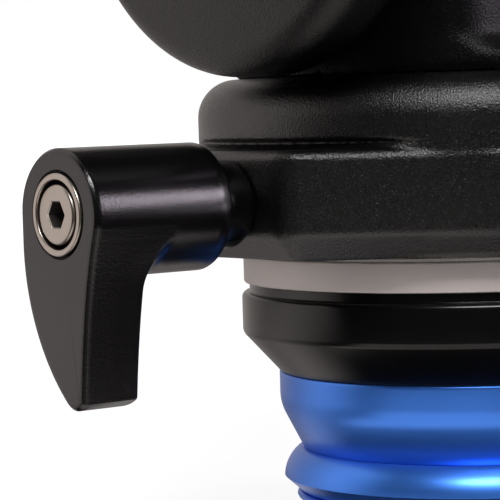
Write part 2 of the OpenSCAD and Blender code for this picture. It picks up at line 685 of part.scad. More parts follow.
module lever_handle() color(black_anodised) difference() {
    edge = 0.3;
    union() {
        rotate_extrude() polygon([[0, barrel_x], [barrel_r - edge, barrel_x], [barrel_r, barrel_x + edge],
                                  [barrel_r, lever_face - paddle_t / 2], [0, lever_face - paddle_t / 2]]);
        paddle();
    }
    translate([0, 0, barrel_x - eps]) linear_extrude(serration_l + eps)
        star(serration_r + 0.15, serration_in + 0.15, serrations);
    translate([0, 0, hub_end - 0.2]) cylinder(r = serration_r + 0.35, h = web_x - hub_end + 0.2);
    translate([0, 0, barrel_x]) cylinder(r = small_screw_r + 0.25, h = lever_depth);
    translate([0, 0, web_x + web_t]) cylinder(r = lever_head_r + 0.6, h = lever_depth);
    translate([0, 0, bush_x]) cylinder(r = lever_bush_r + press, h = lever_depth);
    translate([0, 0, lever_face - rim_depth]) cylinder(r = lever_bush_r + rim_gap, h = lever_depth);
}
module lever_bush() color(steel)
    translate([0, 0, bush_x]) ring(lever_bush_r, lever_head_r + 0.6, head_x - bush_x);

// The pan lever hangs down from the housing's boss
module at_pan_lever() along_left(boss_reach, z_lever) children();
module pan_clamp_stud() at_pan_lever() clamp_stud(boss_reach - spindle_r - shoe_l - gap);
module pan_lever_screw() at_pan_lever() lever_screw();
module pan_lever_spring() at_pan_lever() lever_spring();
module pan_lever() at_pan_lever() lever_handle();
module pan_lever_bush() at_pan_lever() lever_bush();

// The tilt lever points to the rear from the left cheek
module at_tilt_lever() along_left(tilt_boss, z_tilt) rotate(90) children();
module tilt_clamp_stud() at_tilt_lever() clamp_stud(tilt_boss + friction_x - run_gap - tilt_shoe_l - gap);
module tilt_lever_screw() at_tilt_lever() lever_screw();
module tilt_lever_spring() at_tilt_lever() lever_spring();
module tilt_lever() at_tilt_lever() lever_handle();
module tilt_lever_bush() at_tilt_lever() lever_bush();

// Tilt carriage: two round cheeks on journals, a platform across their tops
module cheek_body() {
    edge = concat([[cheek_r - cheek_chamfer, 0], [cheek_r, cheek_chamfer]],
                  arc([cheek_r - cheek_round, cheek_t - cheek_round], cheek_round, 0, 90));
    difference() {
        union() {
            rotate_extrude() polygon(concat([[0, 0]], edge, [[0, cheek_t]]));
            rotate([90, 0, 90]) linear_extrude(platform_up) polygon(concat(
                edge, [for (i = [len(edge) - 1 : -1 : 0]) [-edge[i][0], edge[i][1]]]));
        }
        translate([platform_up, -2 * cheek_r, -eps]) cube([cheek_r, 4 * cheek_r, cheek_t + 2 * eps]);
        translate([0, 0, cheek_t - 0.8]) ring(groove_r + 0.8, groove_r - 0.8, 0.8 + eps);
        for (y = [-platform_screw_y, platform_screw_y])
            translate([platform_up - platform_hole_l, y, cheek_t / 2])
                rotate([0, 90, 0]) cylinder(r = small_screw_r + fit, h = platform_hole_l + eps);
    }
}
module left_cheek() color(black_coat) along_left(cheek_in, z_tilt) difference() {
    journal_l = turn_gap + drum_wall - gap;
    union() {
        cheek_body();
        translate([0, 0, -journal_l]) cylinder(r = journal_r, h = journal_l + eps);
        cylinder(r = tilt_boss_r, h = cheek_t + tilt_boss_t);
    }
    translate([0, 0, -drum_wall - turn_gap]) cylinder(r = clamp_r + fit, h = tilt_boss);
    translate([0, 0, -drum_wall - turn_gap]) cylinder(r = tilt_shoe_r + fit, h = tilt_shoe_l + run_gap + 1);
}
module right_cheek() color(black_coat) difference() {
    journal_l = turn_gap + cap_t;
    union() {
        mirror([1, 0, 0]) along_left(cheek_in, z_tilt) cheek_body();
        along_right(cheek_in - journal_l, z_tilt) cylinder(r = journal_r, h = journal_l + eps);
    }
    along_right(0, z_tilt) cylinder(r = tilt_shaft_r + press, h = shaft_to);
    along_right(0, z_tilt) cylinder(r = handle_bolt_r + 0.3, h = cheek_out + eps);
    along_right(cheek_out - 6, z_tilt) rosette_screw_places()
        cylinder(r = rosette_screw_r + fit, h = 6 + eps);
}
module tilt_brake_shoe() color(brass)
    along_left(-friction_x + run_gap, z_tilt) cylinder(r = tilt_shoe_r, h = tilt_shoe_l);
module tilt_shaft() color(steel) difference() {
    start = friction_x + friction_t + turn_gap;
    along_right(start, z_tilt) cylinder(r = tilt_shaft_r, h = shaft_to - start);
    along_right(shaft_to - handle_bolt_bite - 1, z_tilt)
        cylinder(r = handle_bolt_r + fit, h = handle_bolt_bite + 2);
}
module tilt_rotor_discs() color(steel) for (i = [1, 3])
    along_right(tilt_disc_x(i), z_tilt) ring(tilt_chamber_r - 1.5, tilt_shaft_r + press, tilt_disc_t);

// Cross-section of the platform with its fixed jaw on the right, from the shelf up
module platform_section() {
    foot = dovetail_half + jaw_clear;
    lip = lip_half + 0.3;
    polygon([
        [-cheek_out, 0], [-cheek_out, platform_t - jaw_drop - gap], [-jaw_split, platform_t - jaw_drop - gap],
        [-jaw_split, platform_t], [foot, platform_t], [foot, platform_t + foot_h],
        [lip, platform_t + foot_h + foot - lip], [lip, platform_t + jaw_h],
        [cheek_out - 8, platform_t + jaw_h], [cheek_out, platform_t + jaw_h - 8], [cheek_out, 0]]);
}
module platform_screw_places() for (x = [-1, 1], y = [-1, 1])
    translate([x * (cheek_in + cheek_t / 2), y * platform_screw_y, z_shelf + platform_t - jaw_drop - gap])
        children();
module button_place() translate([button_x, -platform_half, button_z]) rotate([90, 0, 0]) children();
module platform() color(black_coat) difference() {
    translate([0, platform_half, z_shelf]) rotate([90, 0, 0])
        linear_extrude(2 * platform_half) platform_section();
    platform_screw_places() {
        translate([0, 0, -platform_screw_l]) cylinder(r = small_screw_r + fit, h = platform_screw_l + eps);
        translate([0, 0, small_screw_r - small_head_r])
            cylinder(r1 = small_screw_r + fit, r2 = small_head_r + fit, h = small_head_r - small_screw_r);
        translate([0, 0, -0.01]) cylinder(r = small_head_r + fit, h = 2 * platform_t);
    }
    along_left(0, knob_z) cylinder(r = knob_screw_r + fit, h = knob_at);
    button_place() translate([0, 0, -button_hole]) cylinder(r = button_r + fit, h = button_hole + eps);
}
module platform_screws() color(steel) platform_screw_places() 
    flat_screw(platform_screw_l, small_screw_r, small_head_r, 2.5);

// Moving jaw, its knob and the knob's screw
module clamp_jaw() color(black_anodised) difference() {
    foot = dovetail_half + jaw_clear;
    lip = lip_half + 0.3;
    translate([0, platform_half - 2, z_floor]) rotate([90, 0, 0])
        linear_extrude(2 * platform_half - 4) polygon([
        [-jaw_out, -jaw_drop], [-jaw_split - 0.3, -jaw_drop], [-jaw_split - 0.3, run_gap], [-foot, run_gap],
        [-foot, foot_h], [-lip, foot_h + foot - lip], [-lip, jaw_h],
        [-jaw_out + 2, jaw_h], [-jaw_out, jaw_h - 2]]);
    along_left(0, knob_z) cylinder(r = knob_screw_r + 0.3, h = knob_at);
}
module plate_knob() color(black_anodised) along_left(knob_at, knob_z) difference() {
    union() {
        translate([0, 0, jaw_out - knob_at + fit]) cylinder(r = knob_neck_r, h = knob_at - jaw_out);
        scalloped(knob_r, knob_l, 12, 0.9);
    }
    translate([0, 0, jaw_out - knob_at - eps]) cylinder(r = knob_screw_r + press, h = knob_at - jaw_out + 8);
}
module plate_knob_screw() color(steel)
    along_left(knob_screw_in, knob_z) cylinder(r = knob_screw_r, h = knob_at + 7 - knob_screw_in);

// Quick plate: a dovetail plate with a slot for the camera screw and two rubber pads
module slot(r, travel, h) {
    for (y = [-travel, travel]) translate([0, y, 0]) cylinder(r = r, h = h);
    translate([-r, -travel, 0]) cube([2 * r, 2 * travel, h]);
}
module quick_plate() color(black_anodised) difference() {
    top = quick_under + quick_t;
    edge = 0.8;
    half = quick_w / 2;
    cut = 6;
    intersection() {
        translate([0, quick_l / 2, quick_z]) rotate([90, 0, 0]) linear_extrude(quick_l) polygon([
            [-dovetail_half, 0], [dovetail_half, 0], [dovetail_half, foot_h],
            [lip_half, foot_h + dovetail_cut], [lip_half, quick_under], [half, quick_under],
            [half, top - edge], [half - edge, top],
            [edge - half, top], [-half, top - edge], [-half, quick_under], [-lip_half, quick_under],
            [-lip_half, foot_h + dovetail_cut], [-dovetail_half, foot_h]]);
        translate([0, 0, quick_z - eps]) linear_extrude(top + 2 * eps) polygon([
            [-half, cut - quick_l / 2], [cut - half, -quick_l / 2], [half - cut, -quick_l / 2],
            [half, cut - quick_l / 2], [half, quick_l / 2 - cut], [half - cut, quick_l / 2],
            [cut - half, quick_l / 2], [-half, quick_l / 2 - cut]]);
    }
    translate([0, 0, quick_z - eps]) slot(camera_r + 0.3, camera_travel, top + 2 * eps);
    translate([0, 0, quick_z - eps]) slot(camera_head_r + 0.4, camera_travel, washer_top + fit + eps);
}
module plate_pads() color(rubber) for (side = [-1, 1])
    translate([pad_edge - quick_w / 2, side > 0 ? pad_from : -pad_to, quick_top])
        cube([quick_w - 2 * pad_edge, pad_to - pad_from, pad_t]);
module screw_washer() color(steel) translate([0, 0, quick_z + washer_top - plate_washer_t])
    ring(camera_head_r - 0.2, camera_neck_r + fit, plate_washer_t);
module camera_screw() color(steel) {
    head_z = quick_z + washer_top - plate_washer_t - fit - camera_head_t;
    difference() {
        union() {
            translate([0, 0, head_z]) cylinder(r = camera_head_r, h = camera_head_t);
            translate([0, 0, head_z]) cylinder(r = camera_neck_r, h = pad_top - head_z + eps);
            translate([0, 0, pad_top]) cylinder(r = camera_r, h = camera_up);
        }
        translate([-camera_head_r - eps, -coin_slot_w / 2, head_z - eps])
            cube([2 * camera_head_r + 2 * eps, coin_slot_w, coin_slot_deep + eps]);
    }
}

// Safety button in the platform's rear face, with its spring
module safety_button() color([0.55, 0.05, 0.04]) button_place()
    rotate_extrude() polygon([[0, -button_in], [button_r, -button_in], [button_r, button_out - 0.7],
                              [button_r - 0.7, button_out], [0, button_out]]);
module safety_spring() color(steel) button_place() translate([0, 0, fit - button_hole])
    coil(button_r - 0.8, 0.35, button_hole - button_in - 2 * fit, 4);

// Pan handle: toothed rosette on the right cheek, clamped eye, tube, grip and end cap
module rosette_screw_places() for (a = [0, 120, 240])
    rotate(a) translate([rosette_screw_pitch_r, 0, 0]) children();
module handle_rosette() color(steel) along_right(rosette_x, z_tilt) difference() {
    union() {
        cylinder(r = rosette_r, h = rosette_t);
        for (i = [0 : teeth - 1]) rotate(360 * i / teeth) translate([tooth_from, 0, rosette_t - 0.01])
            rotate([90, 0, 90]) linear_extrude(rosette_r - tooth_from - 0.2)
                polygon([[-0.9, 0], [0.9, 0], [0.15, tooth_h], [-0.15, tooth_h]]);
    }
    translate([0, 0, -eps]) cylinder(r = handle_bolt_r + 0.3, h = 2 * rosette_t);
    rosette_screw_places() {
        translate([0, 0, -eps]) cylinder(r = rosette_screw_r + fit, h = 2 * rosette_t);
        translate([0, 0, rosette_t + rosette_screw_r - rosette_head_r])
            cylinder(r1 = rosette_screw_r + 2 * fit, r2 = rosette_head_r + 2 * fit,
                     h = rosette_head_r - rosette_screw_r);
    }
}
module rosette_screws() color(steel) along_right(rosette_x + rosette_t - fit, z_tilt) rosette_screw_places()
    flat_screw(rosette_screw_l, rosette_screw_r, rosette_head_r, 2);
module handle_socket() color(black_coat) difference() {
    web = 17;
    web_step = 0.6;
    union() {
        along_right(eye_x, z_tilt) cylinder(r = rosette_r, h = eye_t);
        handle_frame(eye_x + web_step) translate([0, -web / 2, rosette_r / 2])
            cube([eye_t - 2 * web_step, web, tube_from - 1 - rosette_r / 2]);
        handle_frame(tube_x) translate([0, 0, socket_from])
            cylinder(r = tube_r + socket_wall, h = socket_to - socket_from);
    }
    along_right(0, z_tilt) cylinder(r = handle_bolt_r + 0.3, h = 100);
    handle_frame(tube_x) translate([0, 0, tube_from]) cylinder(r = tube_r + press, h = handle_l);
}
module handle_tube() color(black_anodised) handle_frame(tube_x) translate([0, 0, tube_from])
    ring(tube_r, tube_r - tube_wall, handle_l - cap_l - tube_from);
module handle_grip() color(rubber) handle_frame(tube_x) {
    grip_to = handle_l - cap_l;
    third = (grip_to - grip_from) / 3;
    rotate_extrude() polygon(concat(
        [[tube_r + press, grip_from]], arc([grip_r - 3, grip_from + 3], 3, 270, 360),
        [[grip_r - 0.9, grip_from + third], [grip_r, grip_from + 2 * third], [grip_r, grip_to]],
        [[tube_r + press, grip_to]]));
}
module grip_cap() color(black_anodised) handle_frame(tube_x) {
    plug_r = tube_r - tube_wall - press;
    start = handle_l - cap_l;
    rotate_extrude() polygon(concat(
        [[0, start - 8], [plug_r, start - 8], [plug_r, start], [grip_r, start]],
        arc([grip_r - 3, handle_l - 3], 3, 0, 90), [[0, handle_l]]));
}
module handle_knob() color(black_anodised) along_right(knob_x, z_tilt) difference() {
    scalloped(handle_knob_r, handle_knob_l, 7, 1.6);
    translate([0, 0, -eps]) cylinder(r = handle_bolt_r + press, h = 10 + eps);
}
module handle_bolt() color(steel)
    along_right(shaft_to - handle_bolt_bite, z_tilt)
        cylinder(r = handle_bolt_r, h = knob_x + 9.5 - shaft_to + handle_bolt_bite);

riser_collar();
riser_cone();
riser_stud();
base_plate();
pan_ring();
pan_spindle();
base_screws();
pan_washer();
pan_rotor_discs();
pan_nut();
pan_housing();
pan_bush();
pan_stator_discs();
pan_brake_shoe();
pedestal();
pedestal_screws();
drum_end_cap();
tilt_bush_left();
tilt_bush_right();
tilt_friction_plate();
tilt_stator_discs();
counterbalance_spring();
level_cup();
level_vial();
pan_clamp_stud();
pan_lever_screw();
pan_lever_spring();
pan_lever();
pan_lever_bush();
left_cheek();
right_cheek();
platform();
platform_screws();
tilt_shaft();
tilt_rotor_discs();
tilt_brake_shoe();
handle_rosette();
rosette_screws();
tilt_clamp_stud();
tilt_lever_screw();
tilt_lever_spring();
tilt_lever();
tilt_lever_bush();
clamp_jaw();
plate_knob();
plate_knob_screw();
quick_plate();
plate_pads();
screw_washer();
camera_screw();
safety_button();
safety_spring();
handle_socket();
handle_tube();
handle_grip();
grip_cap();
handle_knob();
handle_bolt();
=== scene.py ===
import math

import bmesh
import bpy
import numpy as np
from mathutils import Matrix, Vector


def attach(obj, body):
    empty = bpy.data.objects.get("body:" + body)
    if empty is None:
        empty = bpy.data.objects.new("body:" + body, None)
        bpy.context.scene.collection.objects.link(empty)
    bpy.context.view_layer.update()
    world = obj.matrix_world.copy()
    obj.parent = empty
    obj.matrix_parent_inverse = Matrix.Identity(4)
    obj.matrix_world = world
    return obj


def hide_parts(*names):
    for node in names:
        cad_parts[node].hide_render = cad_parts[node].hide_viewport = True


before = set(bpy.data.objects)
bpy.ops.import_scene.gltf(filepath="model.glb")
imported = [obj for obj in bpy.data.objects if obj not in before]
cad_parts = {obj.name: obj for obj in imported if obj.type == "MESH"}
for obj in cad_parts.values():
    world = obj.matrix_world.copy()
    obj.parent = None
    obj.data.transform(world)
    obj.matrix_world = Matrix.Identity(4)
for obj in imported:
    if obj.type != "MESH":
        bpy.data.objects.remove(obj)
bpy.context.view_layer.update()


# Riser: the stem under the head, a cone on a core with a collar ring round that core.
# Both are turned from aluminium bar, bead blasted fine and dyed blue when they are anodised.
# A stud pulls the cone up against the base plate, and the collar is trapped under the cone.
class Wire:
    """A shader socket that takes part in sums, so a finish reads as an expression."""

    def __init__(self, tree, out=None):
        self.tree, self.out = tree, out

    def node(self, kind, settings=None, sockets=None, out=0):
        made = self.tree.nodes.new("ShaderNode" + kind)
        for name, value in (settings or {}).items():
            setattr(made, name, value)
        for name, value in (sockets or {}).items():
            if isinstance(value, Wire):
                self.tree.links.new(value.out, made.inputs[name])
            else:
                made.inputs[name].default_value = value
        return Wire(self.tree, made.outputs[out])

    def sum(self, operation, first, second):
        return self.node("Math", {"operation": operation}, {0: first, 1: second})

    def __add__(self, other): return self.sum("ADD", self, other)
    def __radd__(self, other): return self.sum("ADD", other, self)
    def __sub__(self, other): return self.sum("SUBTRACT", self, other)
    def __rsub__(self, other): return self.sum("SUBTRACT", other, self)
    def __mul__(self, other): return self.sum("MULTIPLY", self, other)
    def __rmul__(self, other): return self.sum("MULTIPLY", other, self)

    def between(self, low, high):
        """This value as a smooth step from 0 at low to 1 at high."""
        return self.node("MapRange", {"interpolation_type": "SMOOTHSTEP"}, {0: self, 1: low, 2: high})

    def along(self, direction):
        """How far this vector runs along a direction."""
        return self.node("VectorMath", {"operation": "DOT_PRODUCT"}, {0: self, 1: direction}, "Value")

    def length(self):
        return self.node("VectorMath", {"operation": "LENGTH"}, {0: self}, "Value")

    def of(self, vector):
        """A fixed vector or colour, scaled by this value."""
        return self.node("VectorMath", {"operation": "SCALE"}, {0: vector, "Scale": self})

    def shade(self, dark, light):
        """A colour between two, by this value."""
        return self.node("Mix", {"data_type": "RGBA"}, {0: self, 6: (*dark, 1.0), 7: (*light, 1.0)}, 2)

    def into(self, shader, socket):
        self.tree.links.new(self.out, shader.inputs[socket])


def new_finish(name, **fixed):
    material = bpy.data.materials.new(name)
    material.use_nodes = True
    shader = material.node_tree.nodes["Principled BSDF"]
    for socket, value in fixed.items():
        shader.inputs[socket.replace("_", " ")].default_value = value
    wire = Wire(material.node_tree)
    return material, shader, wire.node("TexCoord", out="Object")


def noise(place, scale, detail=2.0, roughness=0.5):
    return place.node("TexNoise", None, {"Vector": place, "Scale": scale, "Detail": detail,
                                         "Roughness": roughness})


def lathe_marks(place, centre, axis, pitch):
    """Fine rings left by the tool, round a line through centre, in metres."""
    arm = place.node("VectorMath", {"operation": "SUBTRACT"}, {0: place, 1: centre})
    along = arm.along(axis)
    spoke = place.node("VectorMath", {"operation": "SUBTRACT"}, {0: arm, 1: along.of(axis)})
    return place.node("TexNoise", {"noise_dimensions": "1D"},
                      {"W": along + spoke.length(), "Scale": 1 / pitch, "Detail": 3.0, "Roughness": 0.6})


def bump(shader, height, depth):
    height.node("Bump", None, {"Height": height, "Distance": depth}).into(shader, "Normal")


def anodised(name, dark, light, rough, metal, marks=None, grain=6000, depth=0.000004, **fixed):
    """A plated or anodised metal: a slow drift of the colour, and a fine grain with a depth in metres."""
    material, shader, place = new_finish(name, Metallic=metal, **fixed)
    drift = noise(place, 60, 3)
    fine = noise(place, grain, 2, 0.6) if marks is None else lathe_marks(place, *marks)
    (drift * 0.7 + fine * 0.3).shade(dark, light).into(shader, "Base Color")
    (rough + 0.10 * (fine - 0.5) + 0.06 * (drift - 0.5)).into(shader, "Roughness")
    bump(shader, fine, depth)
    return material


def eased(*corners, steps=6):
    """Points of an outline whose corners, each (x, y, radius), are rounded."""
    points = []
    for i, (x, y, radius) in enumerate(corners):
        here = np.array((x, y), float)
        back = np.array(corners[i - 1][:2], float) - here
        ahead = np.array(corners[(i + 1) % len(corners)][:2], float) - here
        if radius == 0:
            points.append(here)
            continue
        back, ahead = back / np.hypot(*back), ahead / np.hypot(*ahead)
        half = math.acos(max(-1, min(1, back @ ahead))) / 2
        centre = here + (back + ahead) / np.hypot(*(back + ahead)) * radius / math.sin(half)
        first = here + back * radius / math.tan(half) - centre
        last = here + ahead * radius / math.tan(half) - centre
        turn = math.atan2(first[0] * last[1] - first[1] * last[0], first @ last)
        for k in range(steps + 1):
            c, s = math.cos(turn * k / steps), math.sin(turn * k / steps)
            points.append(centre + (c * first[0] - s * first[1], s * first[0] + c * first[1]))
    return points


def stand(name, data):
    """A new object in the scene."""
    made = bpy.data.objects.new(name, data)
    bpy.context.scene.collection.objects.link(made)
    return made


def mesh_piece(name, points, faces, crease=35):
    """Points in millimetres as an object, smooth but for edges that turn by more than crease degrees."""
    mesh = bpy.data.meshes.new(name)
    metres = [tuple(p) for p in np.asarray(points) / 1000]
    mesh.from_pydata(metres, [], [tuple(int(i) for i in f) for f in faces])
    work = bmesh.new()
    work.from_mesh(mesh)
    bmesh.ops.remove_doubles(work, verts=work.verts, dist=1e-7)
    bmesh.ops.recalc_face_normals(work, faces=work.faces)
    work.to_mesh(mesh)
    work.free()
    mesh.shade_smooth()
    mesh.set_sharp_from_angle(angle=math.radians(crease))
    return stand(name, mesh)


def wrapped(rings, loop=False):
    """Points and quads over rings of points, the two ends closed or joined to each other."""
    rings = np.asarray(rings, float)
    count, around = rings.shape[:2]
    index = np.arange(count * around).reshape(count, around)
    after = np.roll(index, -1, 1)
    faces = []
    for i in range(count if loop else count - 1):
        beyond = (i + 1) % count
        faces += zip(index[i], after[i], after[beyond], index[beyond])
    if not loop:
        faces += [tuple(index[0][::-1]), tuple(index[-1])]
    return rings.reshape(-1, 3), faces


def skin(name, rings, loop=False, crease=35):
    return mesh_piece(name, *wrapped(rings, loop), crease)


def full_turn(around):
    return np.arange(around) * 2 * math.pi / around


def upright(r, z, turns):
    return np.stack([r * np.cos(turns), r * np.sin(turns), np.full_like(turns, z)], -1)


def turned(name, outline, around=240, frame_of=upright):
    """A lathe piece: a closed outline of (radius, height) points carried round the axis."""
    return skin(name, [frame_of(r, z, full_turn(around)) for r, z in outline], loop=True)


def fit(piece, finish, body, slot, *nodes):
    """Gives a made piece its finish and its place in the assembly."""
    piece.data.materials.append(finish)
    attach(piece, body)
    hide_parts(*nodes)
    return piece


pan_axis = ((0, 0, 0), (0, 0, 1))
blue = anodised("blue_anodised", (0.043, 0.183, 0.68), (0.057, 0.222, 0.79), 0.36, 0.82,
                (*pan_axis, 0.00016), depth=0.0000012, Coat_Weight=0.15, Coat_Roughness=0.2)
foot_r, collar_r, core_r, cone_r, neck_r, riser_h = 21.5, 25.4, 15.0, 25.7, 23.07, 18.9
collar_bore, collar_top, bead_z, bead_r, bead_turn = core_r + 0.02, 8.83, 4.8, 4.75, math.radians(58)
flare_z, flare_r, flare_turn = riser_h - 2.9, 6.0, math.radians(26.6)
socket_r, socket_top, stud_r, stud_low = 3.97, 11.0, 4.81, 12.9
bead = [(collar_r - bead_r + bead_r * math.cos(a), bead_z + bead_r * math.sin(a))
        for a in np.linspace(0, bead_turn, 14)]
fit(turned("riser_collar_ring",
           eased((collar_bore, 0, 0), (foot_r, 0, 0.4), (collar_r - 0.25, bead_z - 0.9, 0.5), steps=4)
           + bead[1:] + [(collar_bore, collar_top)]),
    blue, "base", "blue_anodised", "riser_collar")
flare = [(cone_r - flare_r + flare_r * math.cos(a), flare_z + flare_r * math.sin(a))
         for a in np.linspace(-flare_turn, 0, 12)]
fit(turned("riser_cone_body",
           [(socket_r, 0), (core_r, 0), (core_r, collar_top), (neck_r - 0.35, collar_top),
            (neck_r - 0.2, collar_top + 0.12)] + flare
           + eased((cone_r, riser_h - 0.5, 0), (cone_r, riser_h, 0.25), (stud_r, riser_h, 0), steps=3)
           + [(stud_r, stud_low), (socket_r, socket_top)]),
    blue, "base", "blue_anodised", "riser_cone")


# Stud, spindle, screws, shaft and springs: bright steel bar and wire pieces that join the castings.
# They are turned or coiled, zinc plated, and sit inside the head.
def dress(finish, *nodes):
    """Gives pieces that stay as they were drawn a finish of their own."""
    for name in nodes:
        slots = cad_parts[name].material_slots
        for i in range(len(slots)):
            slots[i].material = finish


plated = anodised("plated_steel", (0.42, 0.41, 0.39), (0.56, 0.55, 0.52), 0.34, 1.0, grain=3000)
dress(plated, "riser_stud", "pan_spindle", "base_screws", "pan_nut", "pan_rotor_discs", "pedestal_screws",
      "tilt_shaft", "tilt_rotor_discs", "counterbalance_spring", "pan_lever_spring", "tilt_lever_spring",
      "safety_spring")

# Base plate: the thick disc that stands on the riser, with a wide chamfer below and a groove at its top.
# It is turned from aluminium and black anodised with a smooth satin surface.
satin_black = anodised("satin_black_anodised", (0.0010, 0.0010, 0.0010), (0.0020, 0.0019, 0.0019), 0.22, 0.0,
                       (*pan_axis, 0.00012), depth=0.0000008, Specular_IOR_Level=0.28)
plate_r, plate_foot_r, chamfer_top, plate_top, groove_r, groove_top = 30.3, 25.6, 24.1, 29.3, 29.3, 30.5
fit(turned("base_plate_disc",
           eased((stud_r, riser_h, 0), (plate_foot_r, riser_h, 0.3), (plate_r, chamfer_top, 1.2),
                 (plate_r, plate_top, 0.8), (groove_r, plate_top, 0.1), (groove_r, groove_top, 0.15),
                 (stud_r, groove_top, 0))),
    satin_black, "base", "black_anodised", "base_plate")

# Pan ring and washer: a turned stainless ring that the head turns on, with a thin pale plastic washer on it.
# The ring is finished with a fine tool, so it is satin with faint rings round it.
ring_steel = anodised("ring_steel", (0.46, 0.425, 0.41), (0.55, 0.505, 0.487), 0.55, 0.5,
                      (*pan_axis, 0.00020), depth=0.0000016)
ring_bore, ring_r, ring_top, washer_bore, washer_r, washer_top = 20.02, 30.0, 34.25, 21.0, 29.8, 34.75
fit(turned("pan_ring_band",
           eased((ring_bore, groove_top, 0), (ring_r, groove_top, 0.3), (ring_r, ring_top, 0.3),
                 (ring_bore, ring_top, 0), steps=4)),
    ring_steel, "base", "steel", "pan_ring")
washer, shader, place = new_finish("washer_plastic", Specular_IOR_Level=0.4)
noise(place, 900, 3).shade((0.22, 0.21, 0.20), (0.30, 0.29, 0.27)).into(shader, "Base Color")
(0.45 + 0.1 * noise(place, 2500)).into(shader, "Roughness")
bump(shader, noise(place, 2500), 0.000004)
fit(turned("pan_washer_ring",
           eased((washer_bore, ring_top, 0), (washer_r, ring_top, 0.1), (washer_r, washer_top, 0.1),
                 (washer_bore, washer_top, 0))),
    washer, "base", "white_plastic", "pan_washer")

# Bushes, brake shoes and drag discs: bronze and brass wearing parts inside the head.
# They are turned or stamped, and run in grease.
brass = anodised("bearing_brass", (0.52, 0.36, 0.14), (0.66, 0.48, 0.21), 0.32, 1.0, grain=2500)
dress(brass, "pan_bush", "pan_stator_discs", "pan_brake_shoe", "tilt_bush_left", "tilt_bush_right",
      "tilt_friction_plate", "tilt_stator_discs", "tilt_brake_shoe")


# Pan housing: the round casting that turns on the ring, with a boss for the lever and an ear for the level.
# It is die cast, its edges broken by the tool's radii, and coated in black wrinkle powder.
# A lip and a wide chamfer run round its foot, and a shallow cove is milled in the wall above the boss.
def rounded(a, b, radius):
    """What two distance fields share, with the edge between them rounded."""
    past = np.hypot(np.maximum(a + radius, 0), np.maximum(b + radius, 0))
    return np.minimum(np.maximum(a, b), -radius) + past


def joined(a, b, radius):
    """Two distance fields as one, with a fillet between them."""
    return -rounded(-a, -b, radius)


def cells(*runs):
    """Places along one axis, in runs of (start, end, spacing)."""
    return np.concatenate([np.arange(start, end, spacing) for start, end, spacing in runs])


def cast(name, shape, *axes):
    """Skins a distance field, in millimetres, with one point in each cell that its surface crosses."""
    grid = np.stack(np.meshgrid(*axes, indexing="ij"), -1)
    solid = shape(grid) < 0
    size = [len(a) - 1 for a in axes]
    filled = sum(solid[i:i + size[0], j:j + size[1], k:k + size[2]].astype(int)
                 for i in (0, 1) for j in (0, 1) for k in (0, 1))
    crossed = (filled > 0) & (filled < 8)
    number = np.full(crossed.shape, -1)
    number[crossed] = np.arange(crossed.sum())
    points = ((grid[:-1, :-1, :-1] + grid[1:, 1:, 1:]) / 2)[crossed]
    quads = []
    for axis in range(3):
        a, b = [d for d in range(3) if d != axis]
        here, there = np.moveaxis(solid, axis, 0)[:-1], np.moveaxis(solid, axis, 0)[1:]
        place = np.argwhere(np.moveaxis((here != there), 0, axis))
        inner = (place[:, a] > 0) & (place[:, b] > 0) & (place[:, a] < size[a]) & (place[:, b] < size[b])
        place = place[inner]
        corners = []
        for da, db in ((-1, -1), (0, -1), (0, 0), (-1, 0)):
            cell = place.copy()
            cell[:, a] += da
            cell[:, b] += db
            corners.append(number[cell[:, 0], cell[:, 1], cell[:, 2]])
        quads.append(np.stack(corners, -1))
    quads = np.concatenate(quads)
    links = np.concatenate([quads[:, [0, 1]], quads[:, [1, 2]], quads[:, [2, 3]], quads[:, [3, 0]]])
    links = np.unique(np.sort(links, 1), axis=0)
    shares = np.bincount(links.ravel(), minlength=len(points))[:, None]
    nudge, reach, flattest, evenings, settlings = 0.01, 0.5, 0.2, 5, 9
    for turn in range(settlings):
        if turn < evenings:
            total = np.zeros_like(points)
            np.add.at(total, links[:, 0], points[links[:, 1]])
            np.add.at(total, links[:, 1], points[links[:, 0]])
            points = 0.5 * points + 0.5 * total / shares
        gap = shape(points)
        slope = np.stack([shape(points + nudge * e) - shape(points - nudge * e) for e in np.eye(3)], -1)
        slope = slope / (2 * nudge)
        step = np.clip(gap / np.maximum((slope ** 2).sum(-1), flattest), -reach, reach)
        points = points - step[:, None] * slope
    return mesh_piece(name, points, quads, 40)


def wrinkled(name, shine):
    """Black wrinkle powder: fine pebbles and folds, with dull and shiny clouds."""
    finish, shader, place = new_finish(name, Specular_IOR_Level=shine)
    pebbles = place.node("TexVoronoi", {"feature": "SMOOTH_F1"},
                         {"Vector": place, "Scale": 4300, "Smoothness": 0.4})
    folds = noise(place, 7000, 3, 0.65)
    cloud = noise(place, 90, 3)
    dark, light = (0.0006, 0.0006, 0.0007), (0.0016, 0.0016, 0.0017)
    (0.6 * folds + 0.4 * cloud).shade(dark, light).into(shader, "Base Color")
    (0.28 + 0.14 * (folds - 0.5) + 0.08 * (cloud - 0.5)).into(shader, "Roughness")
    bump(shader, 0.6 * folds + 0.6 * pebbles, 0.000072)
    return finish


wrinkle = wrinkled("wrinkle_coat", 0.5)
house_r, house_low, house_top, house_round, house_chamfer, house_lip = 35.3, 34.85, 56.7, 5.0, 2.5, 0.55
spindle_bore, chamber_r, chamber_low = 11.3, 23.0, 46.7
lever_z, boss_face, boss_half = 41.7, 40.2, 10.1
boss_top, boss_foot, boss_strip, boss_root = lever_z + 6.3, house_chamfer + house_lip + 0.1, 0.45, -15.0
flank = math.atan(boss_half / boss_face) + math.acos(house_r / math.hypot(boss_face, boss_half))
cove_shift, cove_r, cove_z, cove_half, cove_end, cove_slope = 10.3, 43.9, 48.72, 0.45, -27.6, 0.8
level_x, level_y, level_low, ear_r, ear_h, seat_r, seat_low = 18.5, -32.04, 47.7, 10.6, 8.0, 8.62, 49.7


